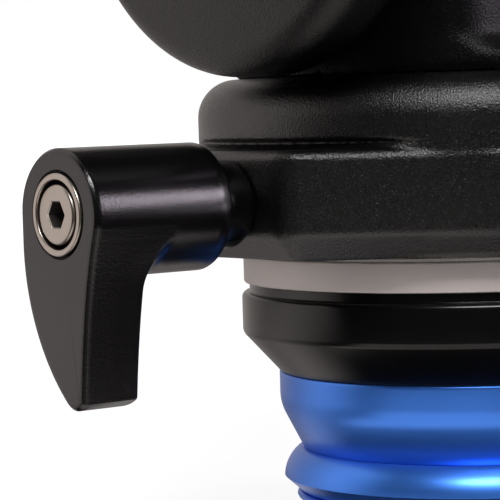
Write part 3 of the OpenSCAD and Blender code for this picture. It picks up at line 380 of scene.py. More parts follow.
def housing_shape(p):
    x, y, z = np.moveaxis(p, -1, 0)
    r = np.hypot(x, y)
    lip = r - house_r + house_chamfer
    bevel = np.minimum((lip - (z - house_low - house_lip)) * math.sqrt(0.5), lip)
    body = rounded(rounded(rounded(r - house_r, bevel, 0.4), house_low - z, 0.15), z - house_top, house_round)

    def upright_plane(angle, through):
        return (through[0] - x) * math.cos(angle) + (np.abs(y) - through[1]) * math.sin(angle)

    corner = (-boss_face, boss_half)
    sides = np.maximum(upright_plane(flank, corner), upright_plane(0, corner))
    sides = rounded(sides, upright_plane(flank / 2, corner) + boss_strip, 0.4)
    foot = (sides + boss_foot - (z - house_low)) * math.sqrt(0.5)
    boss = rounded(rounded(rounded(sides, z - boss_top, 1.3), foot, 0.3), house_low - z, 0.15)
    whole = joined(body, np.maximum(boss, x - boss_root), 0.3)
    across, along = np.hypot(x - cove_shift, y) - cove_r, np.abs(z - cove_z)
    cove = np.maximum((along - cove_slope * across) / math.hypot(1, cove_slope), along - cove_half)
    whole = rounded(whole, -np.maximum(cove, x - cove_end), 0.25)
    level = np.hypot(x - level_x, y - level_y)
    ear = rounded(level - ear_r, np.abs(z - level_low - ear_h / 2) - ear_h / 2, 0.9)
    whole = joined(whole, ear, 1.5)
    whole = np.maximum(whole, -np.maximum(level - seat_r, seat_low - z))
    return np.maximum(np.maximum(whole, spindle_bore - r), -np.maximum(r - chamber_r, chamber_low - z))


fit(cast("pan_housing_casting", housing_shape, cells((-41.4, 2, 0.4), (2, 37, 0.7)),
         cells((-43.8, 14, 0.4), (14, 37, 0.7)),
         cells((33.9, 46.7, 0.4), (46.7, 50.3, 0.2), (50.3, 58, 0.4))),
    wrinkle, "pan_body", "black_coat", "pan_housing")


# Bull's-eye level: a turned black cup pressed into the housing's ear, holding a domed acrylic vial.
# A bubble floats in the green fluid, and a black ring on the dome marks where it stands when level.
def standing(x, y):
    return lambda r, z, turns: upright(r, z, turns) + (x, y, 0)


cup_r, cup_top, vial_r, vial_low, vial_top, pin_r = 8.6, 56.7, 6.6, 50.7, 57.1, 0.02
cup_bore, on_ear = vial_r + 0.02, standing(level_x, level_y)
fit(turned("level_cup_turned",
           eased((pin_r, seat_low, 0), (cup_r, seat_low, 0.2), (cup_r, cup_top, 0.5),
                 (cup_bore, cup_top, 0.4), (cup_bore, vial_low, 0), (pin_r, vial_low, 0)), 96, on_ear),
    satin_black, "pan_body", "black_anodised", "level_cup")
fluid, shader, place = new_finish("level_fluid", Coat_Weight=1.0, Coat_Roughness=0.04, Roughness=0.2)
noise(place, 240, 3).shade((0.30, 0.46, 0.05), (0.40, 0.58, 0.09)).into(shader, "Base Color")
dome_r = 2 * vial_r
dome = [(dome_r * math.sin(a), vial_top - dome_r + dome_r * math.cos(a))
        for a in np.linspace(math.pi / 6, 0.002, 16)]
fit(turned("level_vial_dome", [(pin_r, vial_low), (vial_r, vial_low)] + dome, 96, on_ear),
    fluid, "pan_body", "level_glass", "level_vial")
air, shader, place = new_finish("level_bubble", Coat_Weight=1.0, Coat_Roughness=0.02, Roughness=0.1)
noise(place, 500).shade((0.62, 0.74, 0.32), (0.72, 0.84, 0.42)).into(shader, "Base Color")
bubble_r, bubble_half, bubble_top = 2.0, 0.16, vial_top + 0.10
bubble = [(bubble_r * math.sin(a), bubble_top + bubble_half * (math.cos(a) - 1))
          for a in np.linspace(0.02, math.pi - 0.02, 14)]
fit(turned("level_air_bubble", bubble, 48, on_ear), air, "pan_body", "level_glass")
mark_r, mark_wide, mark_high = 2.9, 0.14, 0.06
mark_z = vial_top + 0.02 - mark_r ** 2 / (2 * dome_r)
mark = [(mark_r + mark_wide * math.cos(a), mark_z + mark_high * math.sin(a))
        for a in np.arange(12) * math.pi / 6]
fit(turned("level_mark_ring", mark, 96, on_ear), satin_black, "pan_body", "level_glass")


# Lock levers: a barrel with a teardrop paddle, pulled out against a spring to set it round on its hub.
# They are die cast, bead blasted and black anodised, with a small chamfer cut round the paddle's face.
# The serrated hub is one turned piece with the clamp thread, and a cap screw in a steel bush holds the lever.
blasted = anodised("blasted_black_anodised", (0.0012, 0.0011, 0.0012), (0.0024, 0.0022, 0.0024), 0.20, 0.0,
                   grain=4200, depth=0.000020, Specular_IOR_Level=0.37)
screw_steel = anodised("screw_steel", (0.31, 0.275, 0.24), (0.40, 0.36, 0.32), 0.33, 1.0,
                       grain=4000, depth=0.000002)
# The hex socket's near-black colour is painted shade in the recess of the screw head.
socket_shade = anodised("hex_socket_painted_shade", (0.010, 0.009, 0.008), (0.020, 0.018, 0.016), 0.5, 0.0,
                        grain=3000)
lever_r, lever_tip, barrel_end, paddle_face = 7.6, 22.4, 5.35, 24.75
paddle_t, paddle_thins, paddle_corner = 7.9, 0.2, 1.2
web_from, web_to, bush_from, head_from, head_out = 10.65, 12.65, 19.4, 21.0, 25.0
hub_r, hub_end, flange_r, flange_from, flange_to, thread_r, core_hole = 5.3, 9.05, 6.4, 4.3, 5.25, 3.0, 2.05
hub_bore, web_bore, spring_bore, bush_r, bush_bore_r, face_bore = 4.85, 2.25, 4.1, 4.8, 4.0, 5.05
head_r, head_edge, shank_r, shank_end, key_half, key_depth = 3.5, 0.35, 2.0, 2.55, 1.45, 2.4


def sweep(centre, radius, start, end, steps):
    turns = np.radians(np.linspace(start, end, steps))
    return np.stack([centre[0] + radius * np.cos(turns), centre[1] + radius * np.sin(turns)], -1)


def paddle_outline(points):
    """The paddle's face, as (rear, up): a round end, a bulging edge, a small tip and a hollow edge."""
    bulge_r, tip_r, bulge_up, tip_end, round_start = 24.7, 2.4, -3.5, 320, -10
    centre = np.array((bulge_r - lever_r, bulge_up))
    angle = math.asin((bulge_up - tip_r + lever_tip) / (bulge_r - tip_r))
    tip = np.array((centre[0] - (bulge_r - tip_r) * math.cos(angle), tip_r - lever_tip))
    degrees = math.degrees(angle)
    round_end = sweep((0, 0), lever_r, round_start, 180, 120)
    small_tip = sweep(tip, tip_r, 180 + degrees, tip_end, 30)
    low_pull, high_pull = np.array((tip[0] + 2.7, tip[1] / 2)), np.array((lever_r - 1.3, -5.2))
    t = np.linspace(0, 1, 60)[:, None]
    edge = ((1 - t) ** 3 * small_tip[-1] + 3 * (1 - t) ** 2 * t * low_pull + 3 * (1 - t) * t ** 2 * high_pull
            + t ** 3 * round_end[0])
    line = np.concatenate([round_end[:-1], sweep(centre, bulge_r, 180, 180 + degrees, 60)[:-1],
                           small_tip[:-1], edge])
    run = np.concatenate([[0], np.cumsum(np.hypot(*np.diff(line, axis=0).T))])
    at = np.linspace(0, run[-1], points, endpoint=False)
    outline = np.stack([np.interp(at, run, line[:, 0]), np.interp(at, run, line[:, 1])], -1)
    reach = np.hypot(*outline.T)[:, None]
    return np.where(np.abs(reach - lever_r) < 0.01, outline * lever_r / reach, outline)


def lever_rings(points=240):
    """Rings of (up, rear, out) points: from the screw's bore over the face and back to the hub's bore."""
    line = paddle_outline(points)
    tangent = np.roll(line, -1, 0) - np.roll(line, 1, 0)
    inward = np.stack([-tangent[:, 1], tangent[:, 0]], -1) / np.hypot(*tangent.T)[:, None]
    reach = np.hypot(*line.T)
    spoke = line / reach[:, None]
    root, edge, chamfer, barrel_edge = 3.0, 0.4, 0.36, 0.25

    def ring(flat, out):
        return np.stack([flat[:, 1], flat[:, 0], np.broadcast_to(out, len(flat))], -1)

    def back(flat):
        """Where the paddle's back lies: it thins towards the tip and turns up round the corner there."""
        up = flat[:, 1]
        thinner = np.clip((-up - lever_r - 1) / (lever_tip - lever_r - 1), 0, 1) * paddle_thins
        slope = paddle_face - paddle_t + thinner
        over = np.clip(-up - (lever_tip - paddle_corner), 0, paddle_corner)
        slope = slope + paddle_corner - np.sqrt(paddle_corner ** 2 - over ** 2)
        near = np.clip(lever_r + root - np.hypot(*flat.T), 0, root)
        return slope - root + np.sqrt(root ** 2 - near ** 2)

    seat_bore = bush_r + 0.02
    rings = [ring(r * spoke, out) for r, out in
             ((seat_bore, bush_from), (seat_bore, paddle_face - 1.2), (face_bore, paddle_face - 1.2),
              (face_bore, paddle_face - 0.12), (face_bore + 0.12, paddle_face), (5.45, paddle_face))]
    rings += [ring(line + inward * inset, paddle_face) for inset in (chamfer + 0.5, chamfer + 0.06)]
    rings += [ring(line + inward * (chamfer - 0.02), paddle_face - 0.02),
              ring(line + inward * 0.03, paddle_face - chamfer + 0.02)]
    wall = back(line)
    rings += [ring(line, out) for out in (paddle_face - chamfer - 0.06, paddle_face - chamfer - 0.6,
                                          (paddle_face + wall) / 2, wall + edge)]
    fade = np.clip(1 - (reach - lever_r) / 1.0, 0, 1)
    for k in range(1, 5):
        a = k * math.pi / 8
        inset = edge * (1 - math.cos(a)) * (1 - fade)
        rings.append(ring(line + inward * inset[:, None], wall + edge * (1 - math.sin(a)) - 0.02 * k * fade))
    outer = np.hypot(*(line + inward * (edge * (1 - fade))[:, None]).T)
    for k in range(1, 15):
        flat = spoke * (outer + (lever_r - outer) * k / 14)[:, None]
        rings.append(ring(flat, back(flat) - 0.05 * (k + 2) * fade))
    for out in np.linspace(paddle_face - paddle_t - root - 0.9, barrel_end + barrel_edge, 6):
        rings.append(ring(lever_r * spoke, out))
    for a in np.radians((45, 90)):
        r = lever_r - barrel_edge * (1 - math.cos(a))
        rings.append(ring(r * spoke, barrel_end + barrel_edge * (1 - math.sin(a))))
    rings += [ring(r * spoke, out) for r, out in
              ((5.7, barrel_end), (hub_bore, barrel_end + 0.4), (hub_bore, web_from), (web_bore, web_from),
               (web_bore, web_to), (spring_bore, web_to), (spring_bore, bush_from))]
    return rings


def round_rings(outline, around=144):
    return [upright(r, out, full_turn(around)) for r, out in outline]


def stud_rings(tip):
    """The clamp thread, the collar with its flange, and the serrated end with a tapped hole."""
    around, serrations, hole_depth = 160, 20, 7.0
    teeth = 4.2 + 0.3 * np.cos(serrations * full_turn(around))
    return round_rings(
        [(0.05, -tip), (thread_r - 0.4, -tip), (thread_r, 0.4 - tip), (thread_r, 0.2), (4.9, 0.2), (5.2, 0.3),
         (hub_r, 0.5), (hub_r, flange_from - 0.1), (hub_r + 0.1, flange_from)]
        + eased((hub_r, flange_from, 0), (flange_r, flange_from, 0.25), (flange_r, flange_to, 0.3),
                (4.6, flange_to, 0))[1:]
        + [(teeth, flange_to + 0.1), (teeth, hub_end), (core_hole, hub_end),
           (core_hole, hub_end - hole_depth), (0.05, hub_end - hole_depth - 0.1)], around)


def screw_rings():
    """The screw's head with its hexagon socket, then its shank, out to in."""
    flats = key_half / np.cos((full_turn(144) + math.pi / 6) % (math.pi / 3) - math.pi / 6)
    rim = [(head_r - head_edge * (1 - math.cos(a)), head_out - head_edge + head_edge * math.sin(a))
           for a in np.radians((90, 72, 54, 36, 18, 0))]
    return round_rings(
        [(0.05, head_out - key_depth - 0.2), (flats * 0.97, head_out - key_depth), (flats, head_out - 0.15),
         (flats + 0.15, head_out), (2.3, head_out)] + rim
        + [(head_r, head_from + 0.1), (head_r - 0.1, head_from), (shank_r, head_from),
           (shank_r, shank_end + 0.2), (shank_r - 0.2, shank_end), (0.05, shank_end)])


bush_rings = round_rings(eased((bush_bore_r, bush_from, 0), (bush_r, bush_from, 0), (bush_r, head_out, 0.2),
                               (bush_bore_r, head_out, 0.2)))
tilt_z, tilt_boss = 88.4, 42.9


def at_pan_lever(rings):
    up, rear, out = np.moveaxis(np.asarray(rings), -1, 0)
    return np.stack([-boss_face - out, -rear, lever_z + up], -1)


def at_tilt_lever(rings):
    up, rear, out = np.moveaxis(np.asarray(rings), -1, 0)
    return np.stack([-tilt_boss - out, up, tilt_z + rear], -1)


for kind, placed, face, axis_z, tip in (("pan", at_pan_lever, boss_face, lever_z, 23.0),
                                        ("tilt", at_tilt_lever, tilt_boss, tilt_z, 14.8)):
    fit(skin(kind + "_lever_casting", placed(lever_rings()), loop=True, crease=28),
        blasted, kind + "_lever_arm", "black_anodised", kind + "_lever")
    fit(skin(kind + "_lever_collar", placed(bush_rings), loop=True),
        screw_steel, kind + "_lever_arm", "steel", kind + "_lever_bush")
    fit(skin(kind + "_lever_stud", placed(stud_rings(tip))),
        blasted, kind + "_lever_hub", "black_anodised", kind + "_clamp_stud")
    screw = fit(skin(kind + "_lever_cap_screw", placed(screw_rings())),
                screw_steel, kind + "_lever_hub", "steel", kind + "_lever_screw")
    screw.data.materials.append(socket_shade)
    # Faces inside the hex socket take the painted shade.
    for face_of_screw in screw.data.polygons:
        x, y, z = face_of_screw.center * 1000
        if math.hypot(y, z - axis_z) < key_half + 0.3 and -x - face < head_out - 0.2:
            face_of_screw.material_index = 1

# Pedestal: the casting that stands on the housing and carries the tilt drum between the cheeks.
# It is die cast with wide radii and wrinkle coated, and a turned cap closes the drum's right end.
drum_r, drum_half, drum_bore, drum_wall, shaft_bore = 24.5, 31.0, 19.5, -24.0, 15.6
pillar_r, pillar_half, skirt, skirt_low = 30.2, 22.0, 3.2, 2.0


def pedestal_shape(p):
    x, y, z = np.moveaxis(p, -1, 0)
    up = z - house_top
    half = pillar_half + skirt * np.clip(1 - (up - skirt_low) / skirt, 0, 1) ** 2
    pillar = rounded(np.hypot(x, y) - pillar_r, np.abs(y) - half, 2.0)
    pillar = rounded(pillar, np.maximum(-up, z - tilt_z), 0.6)
    reach = np.hypot(y, z - tilt_z)
    drum = rounded(reach - drum_r, np.abs(x) - drum_half, 1.0)
    whole = joined(pillar, drum, 3.0)
    whole = np.maximum(whole, -np.maximum(reach - drum_bore, drum_wall - x))
    return np.maximum(whole, shaft_bore - reach)


fit(cast("pedestal_casting", pedestal_shape, cells((-32.6, 32.6, 0.7)), cells((-27, 27, 0.7)),
         cells((55.8, 114.4, 0.7))),
    wrinkled("dull_wrinkle_coat", 0.14), "pan_body", "black_coat", "pedestal")
dress(satin_black, "drum_end_cap")

# Cheeks: the two round castings that swing on the drum, joined across their tops by the platform.
# They are die cast, domed outside with a round edge, and have the same wrinkle coat.
cheek_in, cheek_t, cheek_r, cheek_round, cheek_dome, dome_from = 31.5, 10.4, 31.6, 3.2, 0.004, 12.0
shelf_z, journal_r, journal_half, lever_boss_r, lever_boss_h = 114.4, 13.0, 6.3, 10.0, 11.4
stud_bore, bolt_bore = 3.05, 4.3


def cheek_shape(p, side):
    x, y, z = side * p[..., 0] - cheek_in, p[..., 1], p[..., 2] - tilt_z
    r = np.hypot(y, z)
    outline = np.where(z > 0, np.abs(y), r) - cheek_r
    plate = rounded(outline, x - cheek_t + cheek_dome * np.maximum(r - dome_from, 0) ** 2, cheek_round)
    plate = rounded(plate, (outline + 1 - x) * math.sqrt(0.5), 0.3)
    plate = rounded(plate, np.maximum(-x, z - (shelf_z - tilt_z)), 0.2)
    whole = np.minimum(plate, np.maximum(r - journal_r, np.abs(x) - journal_half))
    if side < 0:
        boss = rounded(r - lever_boss_r, np.abs(x - lever_boss_h / 2) - lever_boss_h / 2, 0.4)
        return np.maximum(joined(whole, boss, 0.6), stud_bore - r)
    return np.maximum(whole, bolt_bore - r)


cheek_coat = wrinkled("cheek_wrinkle_coat", 0.30)
for name, side in (("left", -1), ("right", 1)):
    ends = sorted((side * (cheek_in - 7.5), side * (cheek_in + cheek_t + 2.2)))
    fit(cast(name + "_cheek_casting", lambda p, s=side: cheek_shape(p, s),
             cells((*ends, 0.55)), cells((-32.8, 32.8, 0.55)), cells((55.8, 115.4, 0.55))),
        cheek_coat, "tilt_carriage", "black_coat", name + "_cheek")


# Platform: the bridge across the cheeks, with the fixed jaw of the dovetail clamp along its right side.
# It is die cast and wrinkle coated, and four flat-head screws hold it down on the cheeks.
def flat_shape(corners):
    """The distance in a plane from an outline of corners."""
    corners = np.asarray(corners, float)

    def distance(u, v):
        nearest, inside = np.full(u.shape, np.inf), np.zeros(u.shape, bool)
        for a, b in zip(corners, np.roll(corners, -1, 0)):
            run = b - a
            t = np.clip(((u - a[0]) * run[0] + (v - a[1]) * run[1]) / (run @ run), 0, 1)
            nearest = np.minimum(nearest, (u - a[0] - t * run[0]) ** 2 + (v - a[1] - t * run[1]) ** 2)
            if run[1] != 0:
                inside ^= ((a[1] > v) != (b[1] > v)) & (u < a[0] + run[0] * (v - a[1]) / run[1])
        return np.where(inside, -1, 1) * np.sqrt(nearest)

    return distance


cheek_out, floor_z, jaw_h, jaw_split, platform_half, slant = 41.9, 126.9, 5.2, 19.6, 30.0, 8.0
low_deck, foot_x, lip_x, foot_h = floor_z - 8.2, 19.25, 16.3, 1.8
foot_top, lip_z, jaw_top = floor_z + foot_h, floor_z + foot_h + foot_x - lip_x, floor_z + jaw_h
screw_x, screw_y, screw_bore, screw_head_r, screw_sink = 36.7, 18.0, 2.05, 3.65, 1.6
platform_section = flat_shape(eased(
    (-cheek_out, shelf_z, 0.3), (-cheek_out, low_deck, 0.8), (-jaw_split, low_deck, 0.3),
    (-jaw_split, floor_z, 0.3), (foot_x, floor_z, 0.2), (foot_x, foot_top, 0.2), (lip_x, lip_z, 0.2),
    (lip_x, jaw_top, 0.15), (cheek_out - slant, jaw_top, 1.5), (cheek_out, jaw_top - slant, 2.5),
    (cheek_out, shelf_z, 0.3), steps=3))
button_x, button_z, button_r, button_hole, knob_z, knob_hole = 26.0, 120.65, 3.5, 12.0, 122.9, 2.55


def platform_shape(p):
    x, y, z = np.moveaxis(p, -1, 0)
    whole = rounded(platform_section(x, z), np.abs(y) - platform_half, 1.0)
    across = np.hypot(np.abs(x) - screw_x, np.abs(y) - screw_y)
    sink = across - np.clip(screw_bore + z - (low_deck - screw_sink), screw_bore, screw_head_r)
    whole = rounded(whole, -sink, 0.15)
    whole = np.maximum(whole, -np.maximum(np.hypot(y, z - knob_z) - knob_hole, x))
    button = np.hypot(x - button_x, z - button_z) - button_r - 0.05
    return np.maximum(whole, -np.maximum(button, y + platform_half - button_hole))


fit(cast("platform_casting", platform_shape, cells((-43, 43.1, 0.55)), cells((-31.2, 31.3, 0.55)),
         cells((113.2, 133.4, 0.5))),
    wrinkle, "tilt_carriage", "black_coat", "platform")
dress(screw_steel, "platform_screws")

# Moving jaw and its knob: a milled aluminium bar that a plastic knob draws against the plate's dovetail.
# The bar is blasted and black anodised, and the scalloped knob is moulded on a steel screw.
jaw_out, jaw_half, jaw_low, jaw_in, jaw_bevel, jaw_bore = 41.4, 28.0, floor_z - 8, jaw_split + 0.3, 2.0, 2.8
jaw_section = flat_shape(eased(
    (-jaw_out, jaw_low, 0.5), (-jaw_in, jaw_low, 0.3), (-jaw_in, floor_z + 0.1, 0.15),
    (-foot_x, floor_z + 0.1, 0.1), (-foot_x, foot_top, 0.2), (-lip_x, lip_z, 0.2), (-lip_x, jaw_top, 0.15),
    (jaw_bevel - jaw_out, jaw_top, 0.8), (-jaw_out, jaw_top - jaw_bevel, 0.8), steps=3))


def jaw_shape(p):
    x, y, z = np.moveaxis(p, -1, 0)
    bar = rounded(jaw_section(x, z), np.abs(y) - jaw_half, 1.2)
    return np.maximum(bar, jaw_bore - np.hypot(y, z - knob_z))


fit(cast("clamp_jaw_bar", jaw_shape, cells((-42.4, -15, 0.5)), cells((-29, 29.1, 0.5)),
         cells((117.8, 133.4, 0.5))),
    blasted, "jaw", "black_anodised", "clamp_jaw")
moulded, shader, place = new_finish("moulded_plastic", Specular_IOR_Level=0.45)
noise(place, 700, 3).shade((0.0040, 0.0040, 0.0042), (0.0075, 0.0075, 0.0078)).into(shader, "Base Color")
(0.42 + 0.14 * noise(place, 1800)).into(shader, "Roughness")
bump(shader, noise(place, 4200, 3), 0.000012)


def lying(origin, axis):
    """A frame for lathe pieces on any line that runs square to X or along it."""
    axis = np.array(axis, float)
    first = np.array((0.0, 1.0, 0.0)) if abs(axis[0]) > 0.5 else np.array((1.0, 0.0, 0.0))
    second = np.cross(axis, first)

    def frame_of(r, h, turns):
        return (np.asarray(origin) + h * axis + (r * np.cos(turns))[:, None] * first
                + (r * np.sin(turns))[:, None] * second)
    return frame_of


def scalloped(name, outline, r, count, bite, frame_of, around=252):
    """A knob: rings of (radius, height), where the wide part is bitten by round scallops."""
    turns = full_turn(around)
    off = (turns + math.pi / count) % (2 * math.pi / count) - math.pi / count
    span = (2 * bite) ** 2 - ((r + bite) * np.sin(off)) ** 2
    bitten = np.where(span > 0, (r + bite) * np.cos(off) - np.sqrt(np.maximum(span, 0)), r)
    depth, wide = r - np.minimum(r, bitten), 0.72 * r
    rings = [frame_of(radius - depth * (radius > wide), height, turns) for radius, height in outline]
    return skin(name, rings, crease=45)


knob_r, knob_l, knob_at, knob_neck, neck_l = 9.0, 13.0, 42.5, 3.8, 1.05
knob_line = ([(0.05, -neck_l), (knob_neck, -neck_l), (knob_neck, 0)]
             + eased((knob_neck, 0, 0), (knob_r, 0, 0.8), (knob_r, knob_l, 1.4), (5.6, knob_l, 0))[1:]
             + [(5.3, knob_l - 0.1), (5.0, knob_l - 0.6), (0.05, knob_l - 0.6)])
fit(scalloped("plate_knob_moulding", knob_line, knob_r, 12, 0.9, lying((-knob_at, 0, knob_z), (-1, 0, 0))),
    moulded, "knob", "black_anodised", "plate_knob")
dress(screw_steel, "plate_knob_screw")

# Quick plate: a milled dovetail plate with a long slot for the camera screw and clipped corners.
# Blasted and black anodised aluminium, with two ribbed rubber pads bonded on top.
plate_z, plate_h, plate_half, plate_long, plate_cut, plate_bevel = 127.1, 9.5, 22.0, 44.0, 6.0, 0.8
tail_foot, tail_neck, tail_h, travel, slot_half, recess_half, recess_h = 19, 16, 5.5, 14.0, 3.47, 6.9, 4.65
half_section = ((tail_foot, 0, 0.3), (tail_foot, foot_h, 0.2),
                (tail_neck, foot_h + tail_foot - tail_neck, 0.2), (tail_neck, tail_h, 0.15),
                (plate_half, tail_h, 0.3), (plate_half, plate_h - plate_bevel, 0.4),
                (plate_half - plate_bevel, plate_h, 0.4))
other_half = [(-u, v, radius) for u, v, radius in half_section[::-1]]
quick_section = flat_shape(eased(*half_section, *other_half, steps=3))


def quick_plate_shape(p):
    x, y, z = np.moveaxis(p, -1, 0)
    clip = (np.abs(x) + np.abs(y) - plate_half - plate_long + plate_cut) * math.sqrt(0.5)
    whole = rounded(quick_section(x, z - plate_z), rounded(np.abs(y) - plate_long, clip, 1.0), 0.5)
    along = np.hypot(x, np.maximum(np.abs(y) - travel, 0))
    whole = rounded(whole, slot_half - along, 0.3)
    return rounded(whole, -np.maximum(along - recess_half, z - plate_z - recess_h), 0.2)


fit(cast("quick_plate_milled", quick_plate_shape, cells((-23, 23.1, 0.45)), cells((-45, 45.1, 0.5)),
         cells((126, 138, 0.45))),
    blasted, "plate", "black_anodised", "quick_plate")
rubber, shader, place = new_finish("moulded_rubber", Specular_IOR_Level=0.35)
noise(place, 1200, 3).shade((0.0060, 0.0060, 0.0060), (0.0110, 0.0110, 0.0110)).into(shader, "Base Color")
(0.62 + 0.2 * noise(place, 2500)).into(shader, "Roughness")
bump(shader, noise(place, 2500, 3), 0.00003)
pad_low, pad_t, pad_from, pad_to, pad_half = plate_z + plate_h, 0.9, 20.0, 41.0, 17.0
rib, rib_h, pad_edge = 1.75, 0.35, 0.35
along = np.arange(pad_from, pad_to + 0.01, 0.125)
crest = pad_t - rib_h * (0.5 - 0.5 * np.cos(2 * math.pi * (along - pad_from) / rib))
pad_points, pad_faces = [], []
for side in (-1, 1):
    rings = [np.stack([np.full(len(along) + 2, x), side * np.concatenate([along, [pad_to, pad_from]]),
                       pad_low + np.concatenate([crest * rise, [0, 0]])], -1)
             for x, rise in ((-pad_half, 0.5), (pad_edge - pad_half, 1), (pad_half - pad_edge, 1),
                             (pad_half, 0.5))]
    points, faces = wrapped(rings)
    pad_faces += [tuple(i + len(pad_points) for i in f) for f in faces]
    pad_points += list(points)
fit(mesh_piece("ribbed_pads", pad_points, pad_faces), rubber, "plate", "rubber", "plate_pads")

# Camera screw: a quarter inch steel screw with a coin slot, captive in the plate's slot under a washer.
# It is turned and rolled from stainless bar.
screw_head_z, screw_neck_z, camera_r, camera_up, thread_pitch = 128.45, 137.5, 3.17, 5.2, 1.27
camera_head_r, camera_head_h, coin_half, coin_depth, thread_cut = 6.4, 2.6, 0.8, 1.4, 0.38


def camera_screw_shape(p):
    x, y, z = np.moveaxis(p, -1, 0)
    r = np.hypot(x, y)
    turn = 2 * math.pi * (z - screw_neck_z) / thread_pitch - np.arctan2(y, x)
    thread = r - camera_r + thread_cut / 2 * (1 - np.cos(turn))
    thread = rounded(thread, z - screw_neck_z - camera_up, 0.5)
    neck = np.maximum(r - camera_r + 0.5, z - screw_neck_z - 0.3)
    head = rounded(r - camera_head_r, z - screw_head_z - camera_head_h, 0.2)
    whole = np.minimum(np.minimum(np.maximum(thread, screw_neck_z - z), neck), head)
    whole = np.maximum(whole, -np.maximum(np.abs(y) - coin_half, z - screw_head_z - coin_depth))
    return np.maximum(whole, screw_head_z - z)


fit(cast("camera_screw_turned", camera_screw_shape, cells((-6.7, 6.8, 0.22)), cells((-6.7, 6.8, 0.22)),
         cells((128.1, 143.2, 0.22))),
    screw_steel, "camera_stud", "steel", "camera_screw")
dress(screw_steel, "screw_washer")

# Safety button: the red catch in the platform's rear that must be pressed before the plate can slide out.
# Moulded in red plastic with a domed face, on a spring.
red, shader, place = new_finish("red_plastic", Coat_Weight=0.3, Coat_Roughness=0.15)
noise(place, 900).shade((0.30, 0.010, 0.009), (0.42, 0.016, 0.013)).into(shader, "Base Color")
(0.34 + 0.1 * noise(place, 2500)).into(shader, "Roughness")
button_back = -7
button_line = [(0.02, button_back), (button_r, button_back), (button_r, 2.4), (3.42, 2.7), (3.2, 2.95),
               (2.8, 3.12), (2.0, 3.28), (1.0, 3.37), (0.02, 3.4)]
fit(turned("safety_button_moulding", button_line,
           72, lying((button_x, -platform_half, button_z), (0, -1, 0))),
    red, "button", "red_plastic", "safety_button")

# Handle clamp: a toothed steel rosette screwed to the right cheek, and a cast eye with a socket for the tube.
# The eye has the castings' wrinkle coat, and a seven-lobed knob on a bolt pulls it against the rosette.
dress(screw_steel, "handle_rosette", "rosette_screws", "handle_bolt")
eye_x, eye_t, rosette_r, web_half, web_end = 45.8, 9.0, 13.0, 8.5, 16.0
tube_x, tube_r, sleeve_r, sleeve_from, sleeve_to, sleeve_floor = 56.3, 7.5, 10.1, 14.0, 46.0, 17.0
drop = math.radians(15)


def handle_socket_shape(p):
    x, y, z = p[..., 0], p[..., 1], p[..., 2] - tilt_z
    across = -y * math.sin(drop) + z * math.cos(drop)
    along = -y * math.cos(drop) - z * math.sin(drop)
    axis = np.hypot(y, z)
    slab = np.abs(x - eye_x - eye_t / 2) - eye_t / 2
    eye = rounded(axis - rosette_r, slab, 0.7)
    web = rounded(slab + 0.6, np.maximum(np.abs(across) - web_half, along - web_end), 0.8)
    from_tube = np.hypot(x - tube_x, across)
    middle, half = (sleeve_from + sleeve_to) / 2, (sleeve_to - sleeve_from) / 2
    sleeve = rounded(from_tube - sleeve_r, np.abs(along - middle) - half, 1.2)
    whole = joined(joined(eye, np.maximum(web, 5 - along), 0.8), sleeve, 0.8)
    whole = np.maximum(whole, -np.maximum(from_tube - tube_r - 0.02, sleeve_floor - along))
    return np.maximum(whole, bolt_bore - axis)


fit(cast("handle_socket_casting", handle_socket_shape, cells((45, 67.5, 0.5)), cells((-50.5, 14.2, 0.55)),
         cells((64.5, 102.6, 0.55))),
    wrinkle, "handle", "black_coat", "handle_socket")
clamp_r, clamp_l, clamp_x = 12.0, 15.0, 55.0
clamp_line = (eased((0.05, 0, 0), (clamp_r, 0, 0.8), (clamp_r, clamp_l, 2.2), (7.4, clamp_l, 0))
              + [(7.1, clamp_l - 0.1), (6.8, clamp_l - 0.7), (0.05, clamp_l - 0.7)])
fit(scalloped("handle_knob_moulding", clamp_line, clamp_r, 7, 1.6, lying((clamp_x, 0, tilt_z), (1, 0, 0))),
    moulded, "handle_clamp", "black_anodised", "handle_knob")

# Handle: a drawn aluminium tube pressed into the socket, black anodised, with a moulded rubber grip.
# The grip is waisted and grooved round, and a moulded end cap plugs into the tube.
handle_way = (0, -math.cos(drop), -math.sin(drop))
on_handle = lying((tube_x, 0, tilt_z), handle_way)
drawn = anodised("drawn_black_anodised", (0.0026, 0.0026, 0.0027), (0.0046, 0.0046, 0.0047), 0.33, 0.0,
                 ((tube_x / 1000, 0, tilt_z / 1000), handle_way, 0.0003), depth=0.000001)
tube_bore, grip_bore, grip_from, grip_to, grip_r, grip_round = 6.0, tube_r + 0.02, 108.0, 207.0, 13.2, 3.0
fit(turned("handle_tube_drawn",
           [(tube_bore, sleeve_floor), (tube_r, sleeve_floor), (tube_r, 60), (tube_r, 110), (tube_r, grip_to),
            (tube_bore, grip_to)], 96, on_handle),
    drawn, "handle", "black_anodised", "handle_tube")
waist_depth, waist_l, groove_gap, groove_depth, groove_half, groove_from = 0.45, 66.0, 5.5, 0.55, 1.1, 8.0
steps_along = np.arange(grip_from + grip_round, grip_to - 0.8, 0.4)
sway = np.cos(2 * math.pi * np.clip((steps_along - grip_from - grip_round) / waist_l, 0, 1))
off_groove = np.abs((steps_along - grip_from) % groove_gap - groove_gap / 2) / groove_half
cut = groove_depth * np.sqrt(np.maximum(1 - off_groove ** 2, 0)) * (steps_along > grip_from + groove_from)
ribbed = grip_r - waist_depth * (1 - sway) - cut
nose = [(grip_r - grip_round + grip_round * math.sin(a), grip_from + grip_round - grip_round * math.cos(a))
        for a in np.radians(np.arange(0, 88, 12))]
fit(turned("grip_moulding",
           [(grip_bore, grip_from)] + nose + list(zip(ribbed, steps_along))
           + [(grip_r - 0.1, grip_to - 0.3), (grip_r - 0.4, grip_to), (grip_bore, grip_to)], 120, on_handle),
    rubber, "handle", "rubber", "handle_grip")
